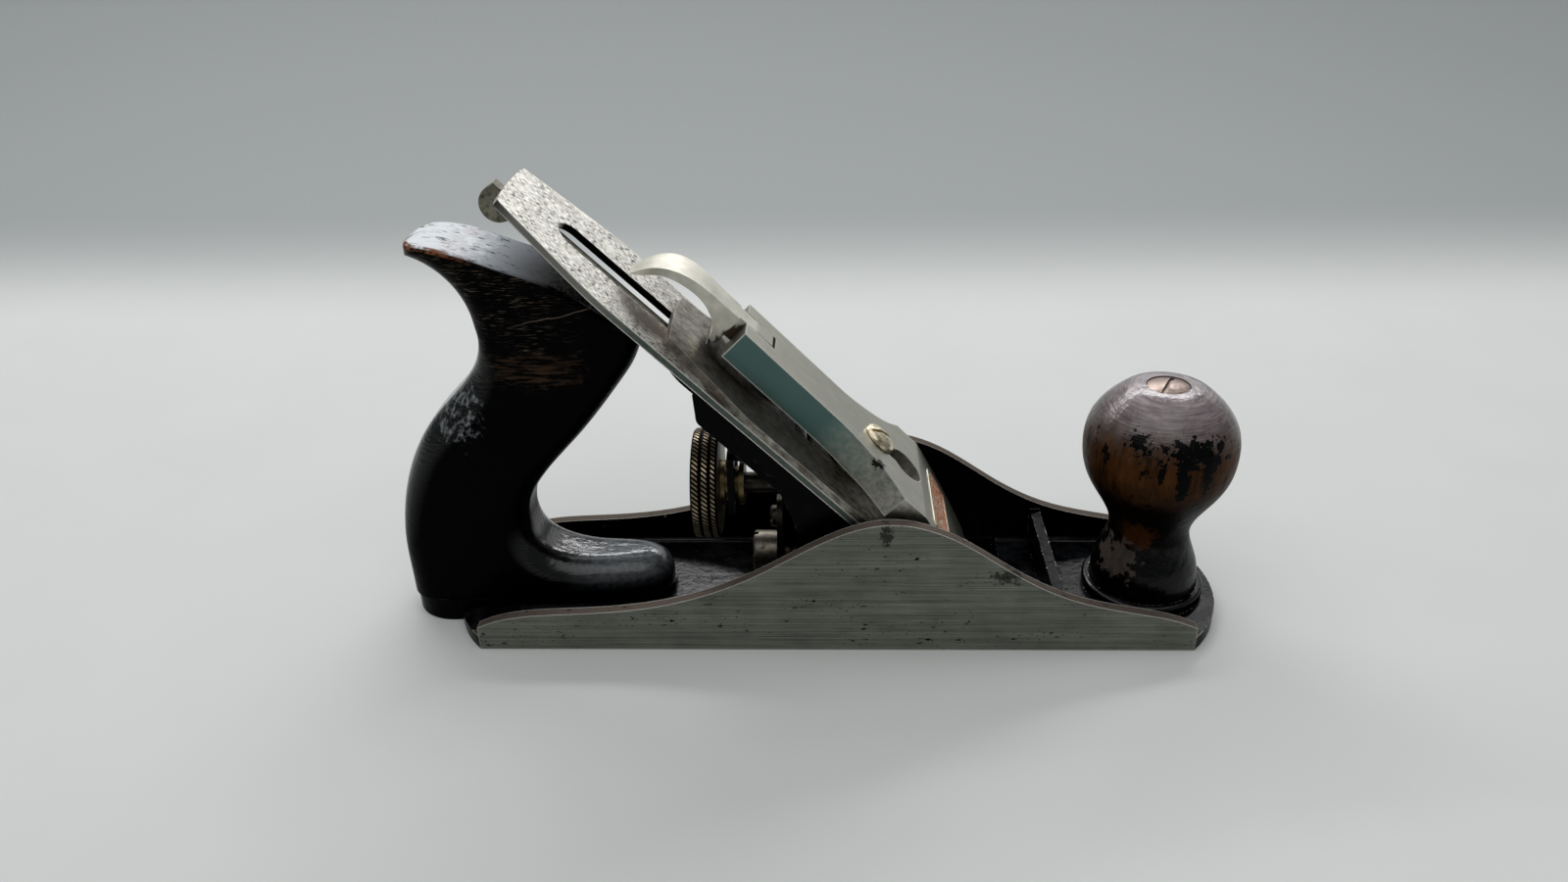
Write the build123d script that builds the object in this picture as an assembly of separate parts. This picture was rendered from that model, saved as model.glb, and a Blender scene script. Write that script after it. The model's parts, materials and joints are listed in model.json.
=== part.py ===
from build123d import *
import os
from math import sqrt
from OCP.BRepFilletAPI import BRepFilletAPI_MakeFillet
from OCP.TColgp import TColgp_Array1OfPnt2d
from OCP.gp import gp_Pnt2d

os.makedirs("parts", exist_ok=True)

# body casting, mm; X runs forward to the toe, Z up from the sole
sole_width = 54.0
side_length = 205.0
end_bulge = 11.1
floor_thickness = 4.3
wall_thickness = 3.2
wall_peak = 42.0
wall_peak_x = 16.0
wall_end = 7.4
rib_x = 64.0
rib_height = 16.0
rib_thickness = 3.0

# knob and tote stations
knob_x = 93.0
knob_base_radius = 15.4
knob_ball_radius = 21.4
knob_seat = 5.4
knob_top = 70.8
tote_seat = 7.0
seat_rear_x = -114.5
seat_rear_radius = 13.0
seat_front_x = -57.5
seat_front_radius = 10.0
tote_half = 12.2
toe_taper_x = -86.6
tote_front_radius = 8.0
tote_back_radius = 8.4
tote_crest_radius = 1.5
hand_x = -119.2
hand_z = 91.0
hand_radius = 22.6
horn_x = -103.8
horn_reach = 9.2
horn_radius = 2.2

# bed: s runs up the 45 degree slope from the mouth, n stands off it
edge_x = 44.1
iron_thickness = 2.0
iron_half = 22.0
iron_length = 183.0
tab_s = iron_length - 2.5
edge_lift = 0.4
slot_half = 5.5
slot_margin = 16.0
iron_taper = 38.5
mouth_half = 23.4
mouth_front = 49.2
mouth_rear = 41.5

# stations along the bed
cap_screw_s = 92.0
cap_iron_top = 127.0
cap_iron_plane = 4.0
lever_screw_s = 60.0
yoke_s = 77.5
yoke_radius = 3.4
disc_s = 108.5
pivot_s = 114.5
tongue_s = 122.0
cap_end_s = 112.0
cam_s = 109.0
cam_n = 14.2
keyhole_s = 48.2
cap_half = 21.6
cap_neck_half = 10.3
cap_top = 16.0
nose_s = 42.0
panel_s = 30.5
panel_length = 11.5
panel_width = 32.0
panel_border = 0.9
cam_root_half = 3.4
cam_reach = 35.0
cam_pin_half = cap_neck_half - 2.0

# frog and adjuster
frog_half = 20.0
frog_base = 10.0
frog_toe = 6.2
frog_travel = 1.5
stud_z = 40.0
stud_radius = 3.0
boss_rear = -14.5
y_pin_x = -17.0
y_pin_z = 52.0
y_pin_radius = 1.5
fork_x = -29.0
groove_half = 2.1
groove_radius = 4.8
flange_radius = 6.6
wheel_radius = 16.0
wheel_rear = -40.0
wheel_front = -32.5
frog_screw_x = 22.5
frog_screw_y = 10.0
adjust_z = 16.4

# fits
slip = 0.05
gap = 0.3

r2 = sqrt(2.0)
low = (Align.CENTER, Align.CENTER, Align.MIN)
bed_side = Plane(origin=(edge_x, 0, 0), x_dir=(-1, 0, 1), z_dir=(0, 1, 0))


def bed_flat(n):
    return Plane(origin=(edge_x + n / r2, 0, n / r2), x_dir=(-1, 0, 1), z_dir=(1, 0, 1))


def bed_xz(s, n):
    return (edge_x + (n - s) / r2, (s + n) / r2)


def bed_pin(radius, s, n_low, n_high):
    pin = Cylinder(radius, n_high - n_low, align=low)
    return bed_flat(n_low).location * Pos(s, 0, 0) * pin


def pin_x(radius, x_low, x_high, z, y=0.0):
    return Pos(x_low, y, z) * Rot(0, 90, 0) * Cylinder(radius, x_high - x_low, align=low)


def pin_y(radius, x, z, half):
    return Pos(x, 0, z) * Rot(90, 0, 0) * Cylinder(radius, 2 * half)


def pin_z(radius, x, y, z_low, z_high):
    return Pos(x, y, z_low) * Cylinder(radius, z_high - z_low, align=low)


def slab(face, plane, half):
    return extrude(plane * face, half, both=True)


def polygon(*points):
    return make_face(Polyline(*points, close=True))


def hull(*circles):
    edges = []
    for x, y, radius in circles:
        edges += (Pos(x, y) * Circle(radius)).edges()
    return make_hull(edges)


def block(x_low, x_high, y_half, z_low, z_high):
    size = Box(x_high - x_low, 2 * y_half, z_high - z_low, align=low)
    return Pos((x_low + x_high) / 2, 0, z_low) * size


def edges_at(part, axis_value, axis="Z", tolerance=0.01):
    def fits(edge):
        box = edge.bounding_box()
        lows, highs = getattr(box.min, axis), getattr(box.max, axis)
        return abs(lows - axis_value) < tolerance and abs(highs - axis_value) < tolerance
    return ShapeList([edge for edge in part.edges() if fits(edge)])


def sole_outline(inset=0.0):
    half = side_length / 2
    side = sole_width / 2 - inset
    tip = half + end_bulge - inset
    outline = ThreePointArc((half, -side), (tip, 0), (half, side))
    outline += Line((half, side), (-half, side))
    outline += ThreePointArc((-half, side), (-tip, 0), (-half, -side))
    outline += Line((-half, -side), (half, -side))
    return make_face(outline)


def cheek():
    half = side_length / 2
    heel = (-half, wall_end)
    toe = (half, wall_end)
    rise = Spline(heel, (-97, 9.6), (-75, 12.2), (-45, 16.0), (-20.7, 25.8), (-3, 36.2),
                  (wall_peak_x, wall_peak), (33, 37.3), (50, 26.1), (67.3, 17.0), (85, 12.6),
                  (97, 9.8), toe)
    sides = Polyline(toe, (half, 0), (-half, 0), heel)
    plane = Plane(origin=(0, sole_width / 2, 0), x_dir=(1, 0, 0), z_dir=(0, -1, 0))
    return extrude(plane * make_face(rise + sides), wall_thickness)


def tote_axis():
    return Plane(origin=(-108.0, 0, tote_seat), x_dir=(95, 0, -42), z_dir=(42, 0, 95))


def plane_body():
    inner = sole_width / 2 - wall_thickness
    wall = cheek()
    body = extrude(sole_outline(), floor_thickness) + wall + mirror(wall, about=Plane.XZ)
    corners = [edge for edge in edges_at(body, floor_thickness)
               if abs(abs(edge.center().Y) - inner) < 0.01]
    body = fillet(corners, 2.2)
    rib_half = rib_thickness / 2
    body += block(rib_x - rib_half, rib_x + rib_half, inner + 0.5, floor_thickness - 1, rib_height)
    ring = pin_z(knob_base_radius + 2.2, knob_x, 0, 1, knob_seat + 2.0)
    ring = fillet(edges_at(ring, knob_seat + 2.0), 1.0)
    body += ring
    body -= pin_z(knob_base_radius + gap, knob_x, 0, knob_seat, knob_seat + 5)
    seat = hull((seat_rear_x, 0, seat_rear_radius), (seat_front_x, 0, seat_front_radius))
    body += extrude(seat, tote_seat)
    # frog seats, mouth and the lug that takes the frog adjusting screw
    body += block(-14, 11.5, 21.0, floor_thickness - 1, frog_base - slip)
    body += block(11, mouth_rear, 21.0, floor_thickness - 1, frog_toe - slip)
    lug = fillet(block(-10.8, -3, 5.5, floor_thickness, 21.5).edges().filter_by(Axis.X), 2.5)
    body += lug
    throat = polygon((mouth_rear + 1, -1), (mouth_rear - 9, 9), (mouth_front + 6, 9),
                     (mouth_front, 0), (mouth_front, -1))
    body -= slab(throat, Plane.XZ, mouth_half)
    # threaded holes
    body -= pin_z(3.1 + slip, knob_x, 0, 1.2, knob_seat + 1)
    body -= pin_x(2.9 + slip, -12, -2, adjust_z)
    for side in (-1, 1):
        body -= pin_z(3.0 + slip, frog_screw_x, side * frog_screw_y, 1.4, 20)
    body -= tote_axis().location * Pos(0, 0, -5.8) * Cylinder(2.8 + slip, 12, align=low)
    return body


def frog_wedge():
    top = bed_xz(100, 0)
    back = Spline(top, (-25.2, 63.9), (-19.5, 56.2), (-14.0, 47.0), (-11.2, 39.8), (-10.2, 32.7),
                  tangents=[(-0.4, -1), (0, -1)])
    rest = Polyline((-10.2, 32.7), (-10.2, frog_base), (14, frog_base), (14, frog_toe),
                    (edge_x - frog_toe, frog_toe), top)
    wedge = slab(make_face(back + rest), Plane.XZ, frog_half)
    hollow = polygon((-45, 5), (13, 5), (13, edge_x - 9.9 - 13), (-45, edge_x - 9.9 + 45))
    return wedge - slab(hollow, Plane.XZ, frog_half - 5.5)


def frog():
    body = frog_wedge()
    head = polygon((50, 0), (111, 0), (111, -5), (104, -11), (50, -11))
    upper = slab(head, bed_side, 12.0)
    body += fillet(upper.edges().filter_by(Axis.Y).sort_by(Axis.Z)[-3:-1], 3.0)
    tongue = hull((pivot_s - 4, 0, 9.0), (tongue_s - 9.0, 0, 9.0))
    body += extrude(bed_flat(-6.4) * tongue, 6.4)
    boss = polygon((boss_rear, 23), (edge_x - 9.0 - 23, 23), (edge_x - 9.0 - 46.5, 46.5),
                   (boss_rear, 46.5))
    body += slab(boss, Plane.XZ, 8.0)
    # slot for the yoke and the cap iron screw, and the recess under the lateral lever
    yoke_slot = polygon((72.4, 2), (101, 2), (101, -26), (72.4, -26))
    body -= slab(yoke_slot, bed_side, 7.5)
    recess = polygon((100.5, 1), (tongue_s + 4, 1), (tongue_s + 4, -2.4), (100.5, -2.4))
    body -= slab(recess, bed_side, 9.6)
    # frog screw slots with their counterbores
    for side in (-1, 1):
        way = SlotOverall(2 * (3.5 + frog_travel), 7.0)
        sink = SlotOverall(2 * (6.1 + frog_travel), 12.2)
        body -= Pos(frog_screw_x, side * frog_screw_y, 0) * extrude(way, 30)
        body -= Pos(frog_screw_x, side * frog_screw_y, 10.5) * extrude(sink, 30)
    body -= bed_pin(3.0 + slip, lever_screw_s, -12, 1)
    body -= pin_x(stud_radius + slip, boss_rear - 1, -9.4, stud_z)
    body -= pin_y(y_pin_radius + 0.02, y_pin_x, y_pin_z, 20)
    body -= pin_x(1.5 + slip, boss_rear - 1, -8.0, 28.5)
    body -= bed_pin(2.2 + 0.02, pivot_s, -8, 1)
    return body


def frog_screws():
    screws = []
    for side in (-1, 1):
        y = side * frog_screw_y
        head = fillet(edges_at(pin_z(4.4, frog_screw_x, y, 11.6, 14.6), 14.6), 0.8)
        screw = head + pin_z(3.0, frog_screw_x, y, 1.6, 11.6)
        screws.append(screw - Pos(frog_screw_x, y, 14.0) * Box(12, 1.2, 2.0))
    return Compound(children=screws)


def frog_washers():
    washers = []
    for side in (-1, 1):
        y = side * frog_screw_y
        hole = pin_z(3.3, frog_screw_x, y, 10, 12)
        washers.append(pin_z(5.5, frog_screw_x, y, 10.55, 11.55) - hole)
    return Compound(children=washers)


def frog_adjusting_screw():
    head = pin_x(6.0, -23.6, -16.6, adjust_z)
    head = fillet(edges_at(head, -23.6, "X"), 0.8)
    screw = head + pin_x(3.0, -16.7, -14.1, adjust_z) + pin_x(4.6, -14.2, -12.8, adjust_z)
    screw += pin_x(2.9, -12.9, -3.6, adjust_z)
    return screw - Pos(-23.6, 0, adjust_z) * Box(3.0, 1.4, 14)


def frog_adjusting_plate():
    plane = Plane(origin=(boss_rear, 0, 0), x_dir=(0, 1, 0), z_dir=(1, 0, 0))
    face = hull((0, 28.5, 6.3), (0, adjust_z + 1, 6.3))
    blade = extrude(plane * face, -1.8)
    blade -= block(boss_rear - 3, boss_rear + 1, 9, 5, adjust_z - 2.5)
    blade -= pin_x(3.0 + 0.4, boss_rear - 3, boss_rear + 1, adjust_z)
    blade -= block(boss_rear - 3, boss_rear + 1, 3.4, 5, adjust_z)
    return blade - pin_x(1.5 + 0.1, boss_rear - 3, boss_rear + 1, 28.5)


def frog_plate_screw():
    face = boss_rear - 1.8 - slip
    head = fillet(edges_at(pin_x(3.2, face - 1.9, face, 28.5), face - 1.9, "X"), 0.9)
    screw = head + pin_x(1.5, face - 0.1, -9.0, 28.5)
    return screw - Pos(face - 1.9, 0, 28.5) * Box(1.6, 9, 0.9)


def adjusting_stud():
    stud = pin_x(stud_radius, -38.8, -9.5, stud_z)
    return chamfer(edges_at(stud, -38.8, "X"), 0.6)


def adjusting_collar():
    rear = fork_x - groove_half - 1.2
    front = fork_x + groove_half + 1.4
    collar = pin_x(groove_radius, rear, front, stud_z)
    collar += pin_x(flange_radius, rear, fork_x - groove_half, stud_z)
    collar += pin_x(flange_radius, fork_x + groove_half, front, stud_z)
    return collar - pin_x(stud_radius + slip, rear - 1, front + 1, stud_z)


def adjusting_wheel():
    width = wheel_front - wheel_rear
    outline = Polyline((stud_radius + slip, 0), (8.0, 0), (9.0, 1.0), (wheel_radius - 2.6, 1.0),
                       (wheel_radius - 1.8, 0), (wheel_radius - 0.6, 0), (wheel_radius, 0.6),
                       (wheel_radius, width - 0.6), (wheel_radius - 0.6, width),
                       (stud_radius + slip, width), close=True)
    wheel = revolve(Plane.XZ * make_face(outline), Axis.Z)
    for start in (2.4, 5.0):
        groove = Cylinder(wheel_radius + 1, 0.6, align=low)
        groove -= Cylinder(wheel_radius - 0.8, 0.6, align=low)
        wheel -= Pos(0, 0, start) * groove
    return Pos(wheel_rear, 0, stud_z) * Rot(0, 90, 0) * wheel


def y_lever():
    pivot = ((edge_x - y_pin_x + y_pin_z) / r2, (y_pin_x - edge_x + y_pin_z) / r2)
    crown = ((edge_x - fork_x + 50.5) / r2, (fork_x - edge_x + 50.5) / r2)
    arm = hull((yoke_s, 0.4, yoke_radius), (*pivot, 3.2))
    tail = hull((*pivot, 3.2), (*crown, 1.0))
    lever = slab(arm, bed_side, 4.4) + slab(tail, bed_side, 4.4)
    plane = Plane(origin=(fork_x - 1.0, 0, 0), x_dir=(0, 1, 0), z_dir=(1, 0, 0))
    fork = hull((-5.0, 49.0, 3.2), (5.0, 49.0, 3.2), (-6.8, 34.6, 1.4), (6.8, 34.6, 1.4))
    fork -= hull((0, 42.1, 5.4), (0, 20, 5.4))
    lever += extrude(plane * fork, 2.0)
    lever += pin_y(3.2, y_pin_x, y_pin_z, 7.1)
    return lever - pin_y(y_pin_radius + slip, y_pin_x, y_pin_z, 20)


def y_lever_pin():
    return pin_y(y_pin_radius, y_pin_x, y_pin_z, 11.6)


def cutting_iron():
    tip = edge_lift * r2 - iron_thickness
    bevel = tip + iron_thickness * 2.14
    top = tip + iron_length
    face = polygon((tip, iron_thickness), (bevel, 0), (top + 2, 0), (top + 2, iron_thickness))
    blank = slab(face, bed_side, iron_half + 1)
    taper = top - iron_taper
    end_half = iron_half - 7.2
    edge = Spline((taper, iron_half), (top - 0.57 * iron_taper, end_half + 4.8),
                  (top - 1.2, end_half), tangents=[(1, 0), (1, -0.22)])
    corner = RadiusArc((top - 1.2, end_half), (top, end_half - 1.4), 1.6)
    far_half = edge + corner
    near_half = mirror(far_half, about=Plane.XZ)
    across = ThreePointArc((top, end_half - 1.4), (top + 0.5, 0), (top, 1.4 - end_half))
    sides = Polyline((taper, iron_half), (tip - 3, iron_half), (tip - 3, -iron_half),
                     (taper, -iron_half))
    outline = make_face(far_half + near_half + across + sides)
    iron = blank & extrude(bed_flat(-1) * outline, iron_thickness + 2)
    slot = hull((lever_screw_s - 8, 0, slot_half), (top - slot_margin - slot_half, 0, slot_half))
    iron -= extrude(bed_flat(-1) * slot, iron_thickness + 2)
    return iron - bed_pin(7.4, lever_screw_s - 7, -1, iron_thickness + 1)


def cap_iron():
    under = iron_thickness + 0.03
    edge = 0.2
    curve = Spline((16, cap_iron_plane), (8, 3.72), (edge, under + 0.1),
                   tangents=[(-1, 0), (-1, -0.32)])
    rest = Polyline((edge, under + 0.1), (edge, under), (cap_iron_top + 2, under),
                    (cap_iron_top + 2, cap_iron_plane), (16, cap_iron_plane))
    plate = slab(make_face(curve + rest), bed_side, iron_half)
    top = cap_iron_top
    half = iron_half - 0.1
    arc = ThreePointArc((top - 0.8, 14.5), (top, 0), (top - 0.8, -14.5))
    sides = Polyline((top - 0.8, -14.5), (97, -half), (-2, -half), (-2, half), (97, half),
                     (top - 0.8, 14.5))
    plate &= extrude(bed_flat(0) * make_face(arc + sides), 10)
    yoke_way = Rectangle(2 * (yoke_radius + gap), 10.6)
    plate -= bed_flat(0).location * Pos(yoke_s, 0, 0) * extrude(yoke_way, 10)
    way = hull((lever_screw_s - 5, 0, 5.0), (lever_screw_s + 4, 0, 5.0))
    plate -= extrude(bed_flat(0) * way, 10)
    return plate - bed_pin(3.4 + slip, cap_screw_s, 0, 10)


def cap_iron_screw():
    head = bed_pin(5.9, cap_screw_s, -3.2, -slip)
    screw = head + bed_pin(3.4, cap_screw_s, -0.2, cap_iron_plane - 0.1)
    slot = bed_flat(-3.2).location * Pos(cap_screw_s, 0, 0) * Box(1.4, 14, 2.2)
    return screw - slot


def lateral_lever():
    blade = hull((disc_s, 0, 4.6), (pivot_s + 1, 0, 4.6))
    blade += hull((pivot_s, 0, 3.6), (150, 0, 3.4), (tab_s - 2, 0, 3.4))
    lever = extrude(bed_flat(-2.1) * blade, 1.6)
    tab = Pos(tab_s, -4.4) * Circle(5.0)
    tab -= Pos(tab_s, 3.0) * Rectangle(20, 7.0)
    lever += slab(tab, bed_side, 1.3)
    foot = polygon((tab_s - 4.4, -0.5), (tab_s + 4.4, -0.5), (tab_s + 4.4, -2.1),
                   (tab_s - 4.4, -2.1))
    lever += slab(foot, bed_side, 1.9)
    lever -= bed_pin(2.2 + slip, pivot_s, -3, 0)
    return lever - bed_pin(1.6, disc_s, -3, 0)


def lateral_pivot():
    return bed_pin(2.2, pivot_s, -6.4, -0.55)


def lateral_disc():
    return bed_pin(slot_half - gap, disc_s, -0.45, 1.7) + bed_pin(1.6, disc_s, -2.1, -0.3)


def cap_profile(lift=0.0):
    seat = cap_iron_plane + 0.12
    nose = ThreePointArc((nose_s, cap_top + lift), (25.5, 11.0 + lift), (9.0, 4.95 + lift))
    rest = Polyline((9.0, 4.95 + lift), (9.0, seat), (23, seat), (31, 6.8), (50, 8.2), (66, 7.3),
                    (cap_end_s, 8.0), (cap_end_s, cap_top + 1.4 + lift), (nose_s, cap_top + lift))
    return make_face(nose + rest)


def cap_plan(inset=0.0):
    wide = cap_half - inset
    narrow = cap_neck_half - inset
    top = cap_end_s + 2
    flare = Spline((76, narrow), (66, narrow + 1.8), (58, narrow + 5.1), (50.5, wide),
                   tangents=[(-1, 0), (-1, 1.1)])
    near = mirror(flare, about=Plane.XZ)
    head = Polyline((76, narrow), (top, narrow), (top, -narrow), (76, -narrow))
    nose = Polyline((50.5, wide), (4, wide), (4, -wide), (50.5, -wide))
    return make_face(flare + near + head + nose)


def cap_panel_border():
    outer = RectangleRounded(panel_length, panel_width, 1.8)
    rim = 2 * panel_border
    inner = RectangleRounded(panel_length - rim, panel_width - rim, 1.2)
    ring = bed_flat(cap_iron_plane + 1).location * Pos(panel_s, 0, 0) * extrude(outer - inner, 30)
    return ring & slab(cap_profile(lift=0.35), bed_side, 30)


def lever_cap():
    cap = slab(cap_profile(), bed_side, 30) & extrude(bed_flat(0) * cap_plan(), 30)
    cap += cap_panel_border()
    hollow = slab(polygon((30, 2), (30, 8.6), (41, 12.6), (100, 13.9), (100, 2)), bed_side, 30)
    cap -= hollow & extrude(bed_flat(0) * cap_plan(inset=3.0), 30)
    cam_way = polygon((cam_s - 7.6, 0), (cap_end_s + 4, 0), (cap_end_s + 4, 30),
                      (cam_s - 7.6, 30))
    cap -= slab(cam_way, bed_side, cam_root_half + gap)
    keyhole = hull((lever_screw_s + 0.2, 0, 3.6), (keyhole_s, 0, 3.6))
    cap -= extrude(bed_flat(0) * keyhole, 30) + bed_pin(5.9, keyhole_s, 0, 30)
    cap -= slab(Pos(cam_s, cam_n) * Circle(1.6 + 0.02), bed_side, cam_pin_half + slip)
    return cap - bed_pin(1.6 + 0.02, 72, 10, 15.2)


def cam_pin():
    return slab(Pos(cam_s, cam_n) * Circle(1.6), bed_side, cam_pin_half)


def lever_cap_spring():
    path = bed_side * Spline((69, 12.6), (75, 12.5), (86, 8.0), (96, 4.75), (104, 4.62),
                             (110.5, 5.1), (116.5, 6.3), tangents=[(1, 0), (1, 0.1)])
    start = Plane(origin=path @ 0, x_dir=(0, 1, 0), z_dir=path % 0)
    spring = sweep(start * Rectangle(13.2, 0.7), path=path)
    return spring - bed_pin(1.6 + 0.02, 72, 2, 20)


def spring_rivet():
    return bed_pin(1.6, 72, 11.6, 15.2) + bed_pin(2.9, 72, 10.6, 12.2)


def cam_lever():
    hub = Circle(7.2) & polygon((-19, 3.1), (9, 3.1), (9, -3.7), (-19, -3.7))
    outer = Spline((5.4, 3.1), (15, 3.3), (22, 3.1), (28, 1.2), (32.4, -3.0), (cam_reach, -8.8),
                   tangents=[(1, 0.02), (0.4, -1)])
    inner = Spline((cam_reach, -8.8), (33.2, -6.6), (29.5, -2.4), (22, 0.2), (15.4, -0.2),
                   (10.4, -2.6), (7.8, -6.8), tangents=[(-0.5, 1), (-0.1, -1)])
    rest = Polyline((7.8, -6.8), (6.2, -7.25), (5.4, -6.6), (5.4, 3.1))
    at_pin = bed_side.location * Pos(cam_s, cam_n, 0)
    blade = at_pin * extrude(make_face(outer + inner + rest), 12, both=True)
    side = Spline((3, 4.5), (13, 4.9), (23, 6.2), (30, 6.0), (cam_reach + 0.6, 0),
                  tangents=[(1, 0), (0, -1)])
    plan = side + mirror(side, about=Plane.XZ) + Line((3, 4.5), (3, -4.5))
    blade &= bed_flat(0).location * Pos(cam_s, 0, 0) * extrude(make_face(plan), 40)
    lever = blade + at_pin * extrude(hub, cam_root_half, both=True)
    return lever - slab(Pos(cam_s, cam_n) * Circle(1.6 + slip), bed_side, 20)


def lever_cap_screw():
    dome = Spline((5.2, 16.6), (4.6, 17.9), (2.6, 18.7), (0, 19.0), tangents=[(0, 1), (-1, 0)])
    rest = Polyline((0, 19.0), (0, -9), (3.0, -9), (3.0, 16.6), (5.2, 16.6))
    body = revolve(Plane.XZ * make_face(dome + rest), Axis.Z)
    body -= Pos(0, 0, 18.8) * Box(12, 1.3, 2.0)
    return bed_flat(0).location * Pos(lever_screw_s, 0, 0) * Rot(0, 0, 25) * body


def front_knob():
    base = knob_seat + slip
    outline = Spline((knob_base_radius, base + 4), (14.3, 16.0), (11.5, 25.5), (14.9, 34.6),
                     (20.2, 44.2), (knob_ball_radius, 51.5), (19.3, 61.2), (12.8, 68.4),
                     (6.2, knob_top - 0.2), tangents=[(0, 1), (-1, 0.08)])
    rest = Polyline((6.2, knob_top - 0.2), (0, knob_top - 0.2), (0, base), (knob_base_radius, base),
                    (knob_base_radius, base + 4))
    knob = Pos(knob_x, 0, 0) * revolve(Plane.XZ * make_face(outline + rest), Axis.Z)
    knob -= pin_z(3.5, knob_x, 0, 0, 90) + pin_z(4.6 + gap, knob_x, 0, knob_top - 12.2, 90)
    return knob - pin_z(6.0, knob_x, 0, knob_top - 9, 90)


def knob_bolt():
    return pin_z(3.1, knob_x, 0, 1.3, 66)


def knob_nut():
    dome = ThreePointArc((5.75, knob_top - 0.5), (3.0, knob_top + 0.15), (0, knob_top + 0.35))
    rest = Polyline((0, knob_top + 0.35), (0, knob_top - 12), (4.6, knob_top - 12),
                    (4.6, knob_top - 8.95), (5.75, knob_top - 8.95), (5.75, knob_top - 0.5))
    nut = Pos(knob_x, 0, 0) * revolve(Plane.XZ * make_face(dome + rest), Axis.Z)
    nut -= pin_z(3.1 + slip, knob_x, 0, 40, 66.2)
    return nut - Pos(knob_x, 0, knob_top + 0.2) * Rot(0, 0, 62) * Box(14, 1.3, 2.4)


def tote_sides():
    side = Spline((toe_taper_x, tote_half), (-70.0, 11.3), (-58.0, 9.8), (-50.9, 6.75), (-48.2, 0),
                  tangents=[(1, 0), (0, -1)])
    back = Polyline((toe_taper_x, tote_half), (-140, tote_half), (-140, -tote_half),
                    (toe_taper_x, -tote_half))
    plan = make_face(side + mirror(side, about=Plane.XZ) + back)
    return extrude(plan, 26) + block(-140, -40, tote_half, 25.8, 130)


def tote_blank():
    base = tote_seat + slip
    horn = (-113.6, 113.9)
    heel = (-127.0, base)
    brow = (-51.6, 88.6)
    toe = (-44.0, 15.0)
    back = Spline(horn, (-107.0, 107.4), (-98.2, 98.8), (-95.8, 88.8), (-100.4, 77.4),
                  (-112.0, 64.6), (-121.4, 49.0), (-126.8, 27.0), heel,
                  tangents=[(0.35, -1), (0.0, -1)])
    front = Spline(brow, (-57.9, 75.8), (-70.9, 59.4), (-83.5, 45.2), (-88.8, 34.0), (-86.2, 23.0),
                   (-76.5, 17.8), (-60.0, 17.2), toe, tangents=[(-0.15, -1), (1, -0.22)])
    crest = Spline(brow, (-60.5, 97.2), (-71.0, 104.2), (-88.0, 111.2), (-104.0, 116.2), horn,
                   tangents=[(-0.5, 1), (-0.4, -1)])
    floor = Polyline(heel, (-44.0, base), toe)
    plane = Plane(origin=(0, 20, 0), x_dir=(1, 0, 0), z_dir=(0, -1, 0))
    return extrude(plane * make_face(back + front + crest + floor), 40) & tote_sides()


def round_back(tote):
    # the rounding of the back thins out towards the horn
    steps = [(0, tote_back_radius), (0.5, tote_back_radius), (0.7, tote_back_radius - 0.4),
             (0.88, horn_radius + 1.3), (1, horn_radius)]
    radii = TColgp_Array1OfPnt2d(1, len(steps))
    for place, step in enumerate(steps):
        radii.SetValue(place + 1, gp_Pnt2d(*step))
    rounding = BRepFilletAPI_MakeFillet(tote.wrapped)
    for edge in tote.edges():
        box = edge.bounding_box()
        if edge.length > 100 and box.min.X < -120 and box.size.Y < 0.1:
            rounding.Add(radii, edge.wrapped)
    return Solid(rounding.Shape())


def hand_hollow():
    # the web of the hand bears here, under the horn
    flat = tote_half - tote_back_radius
    lip = hand_radius + tote_back_radius
    deep = tote_back_radius / sqrt(2)
    near = ThreePointArc((lip, -tote_half), (lip - deep, -flat - deep), (hand_radius, -flat))
    bottom = Line((hand_radius, -flat), (hand_radius, flat))
    far = ThreePointArc((hand_radius, flat), (lip - deep, flat + deep), (lip, tote_half))
    edge = tote_half + 1
    outside = Polyline((lip, tote_half), (lip, edge), (0, edge), (0, -edge), (lip, -edge),
                       (lip, -tote_half))
    return Pos(hand_x, 0, hand_z) * revolve(make_face(near + bottom + far + outside), Axis.Y)


def horn_corners():
    end = block(-140, horn_x, tote_half + 1, 94, 130)
    return end - Pos(horn_x, 0, 90) * extrude(Ellipse(horn_reach, tote_half), 45)


def rear_tote():
    tote = tote_blank()
    grip = [edge for edge in tote.edges() if edge.length > 40 and abs(edge.center().Y) > 0.1
            and edge.bounding_box().min.X > -89 and edge.bounding_box().min.Z > tote_seat + 1]
    tote = round_back(fillet(grip, tote_front_radius)) - hand_hollow() - horn_corners()
    crest = [edge for edge in tote.edges() if edge.bounding_box().min.Z > 96
             and edge.bounding_box().max.Z > 115 and (edge.length > 20 or edge.bounding_box().min.Z > 115)]
    tote = fillet(crest, tote_crest_radius)
    tote -= tote_axis().location * Pos(0, 0, -2) * Cylinder(2.8 + 0.4, 120, align=low)
    tote -= tote_axis().location * Pos(0, 0, 84.8) * Cylinder(4.2 + gap, 40, align=low)
    return tote - tote_axis().location * Pos(0, 0, 88.9) * Cylinder(5.2 + gap, 40, align=low)


def tote_bolt():
    return tote_axis().location * Pos(0, 0, -5.6) * Cylinder(2.8, 98, align=low)


def tote_nut():
    nut = Cylinder(5.2, 7.0, align=low) + Pos(0, 0, -4) * Cylinder(4.2, 5, align=low)
    nut -= Pos(0, 0, -5) * Cylinder(2.8 + slip, 9.5, align=low)
    nut -= Pos(0, 0, 7.0) * Box(12, 1.3, 2.4)
    return tote_axis().location * Pos(0, 0, 89) * nut


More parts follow.
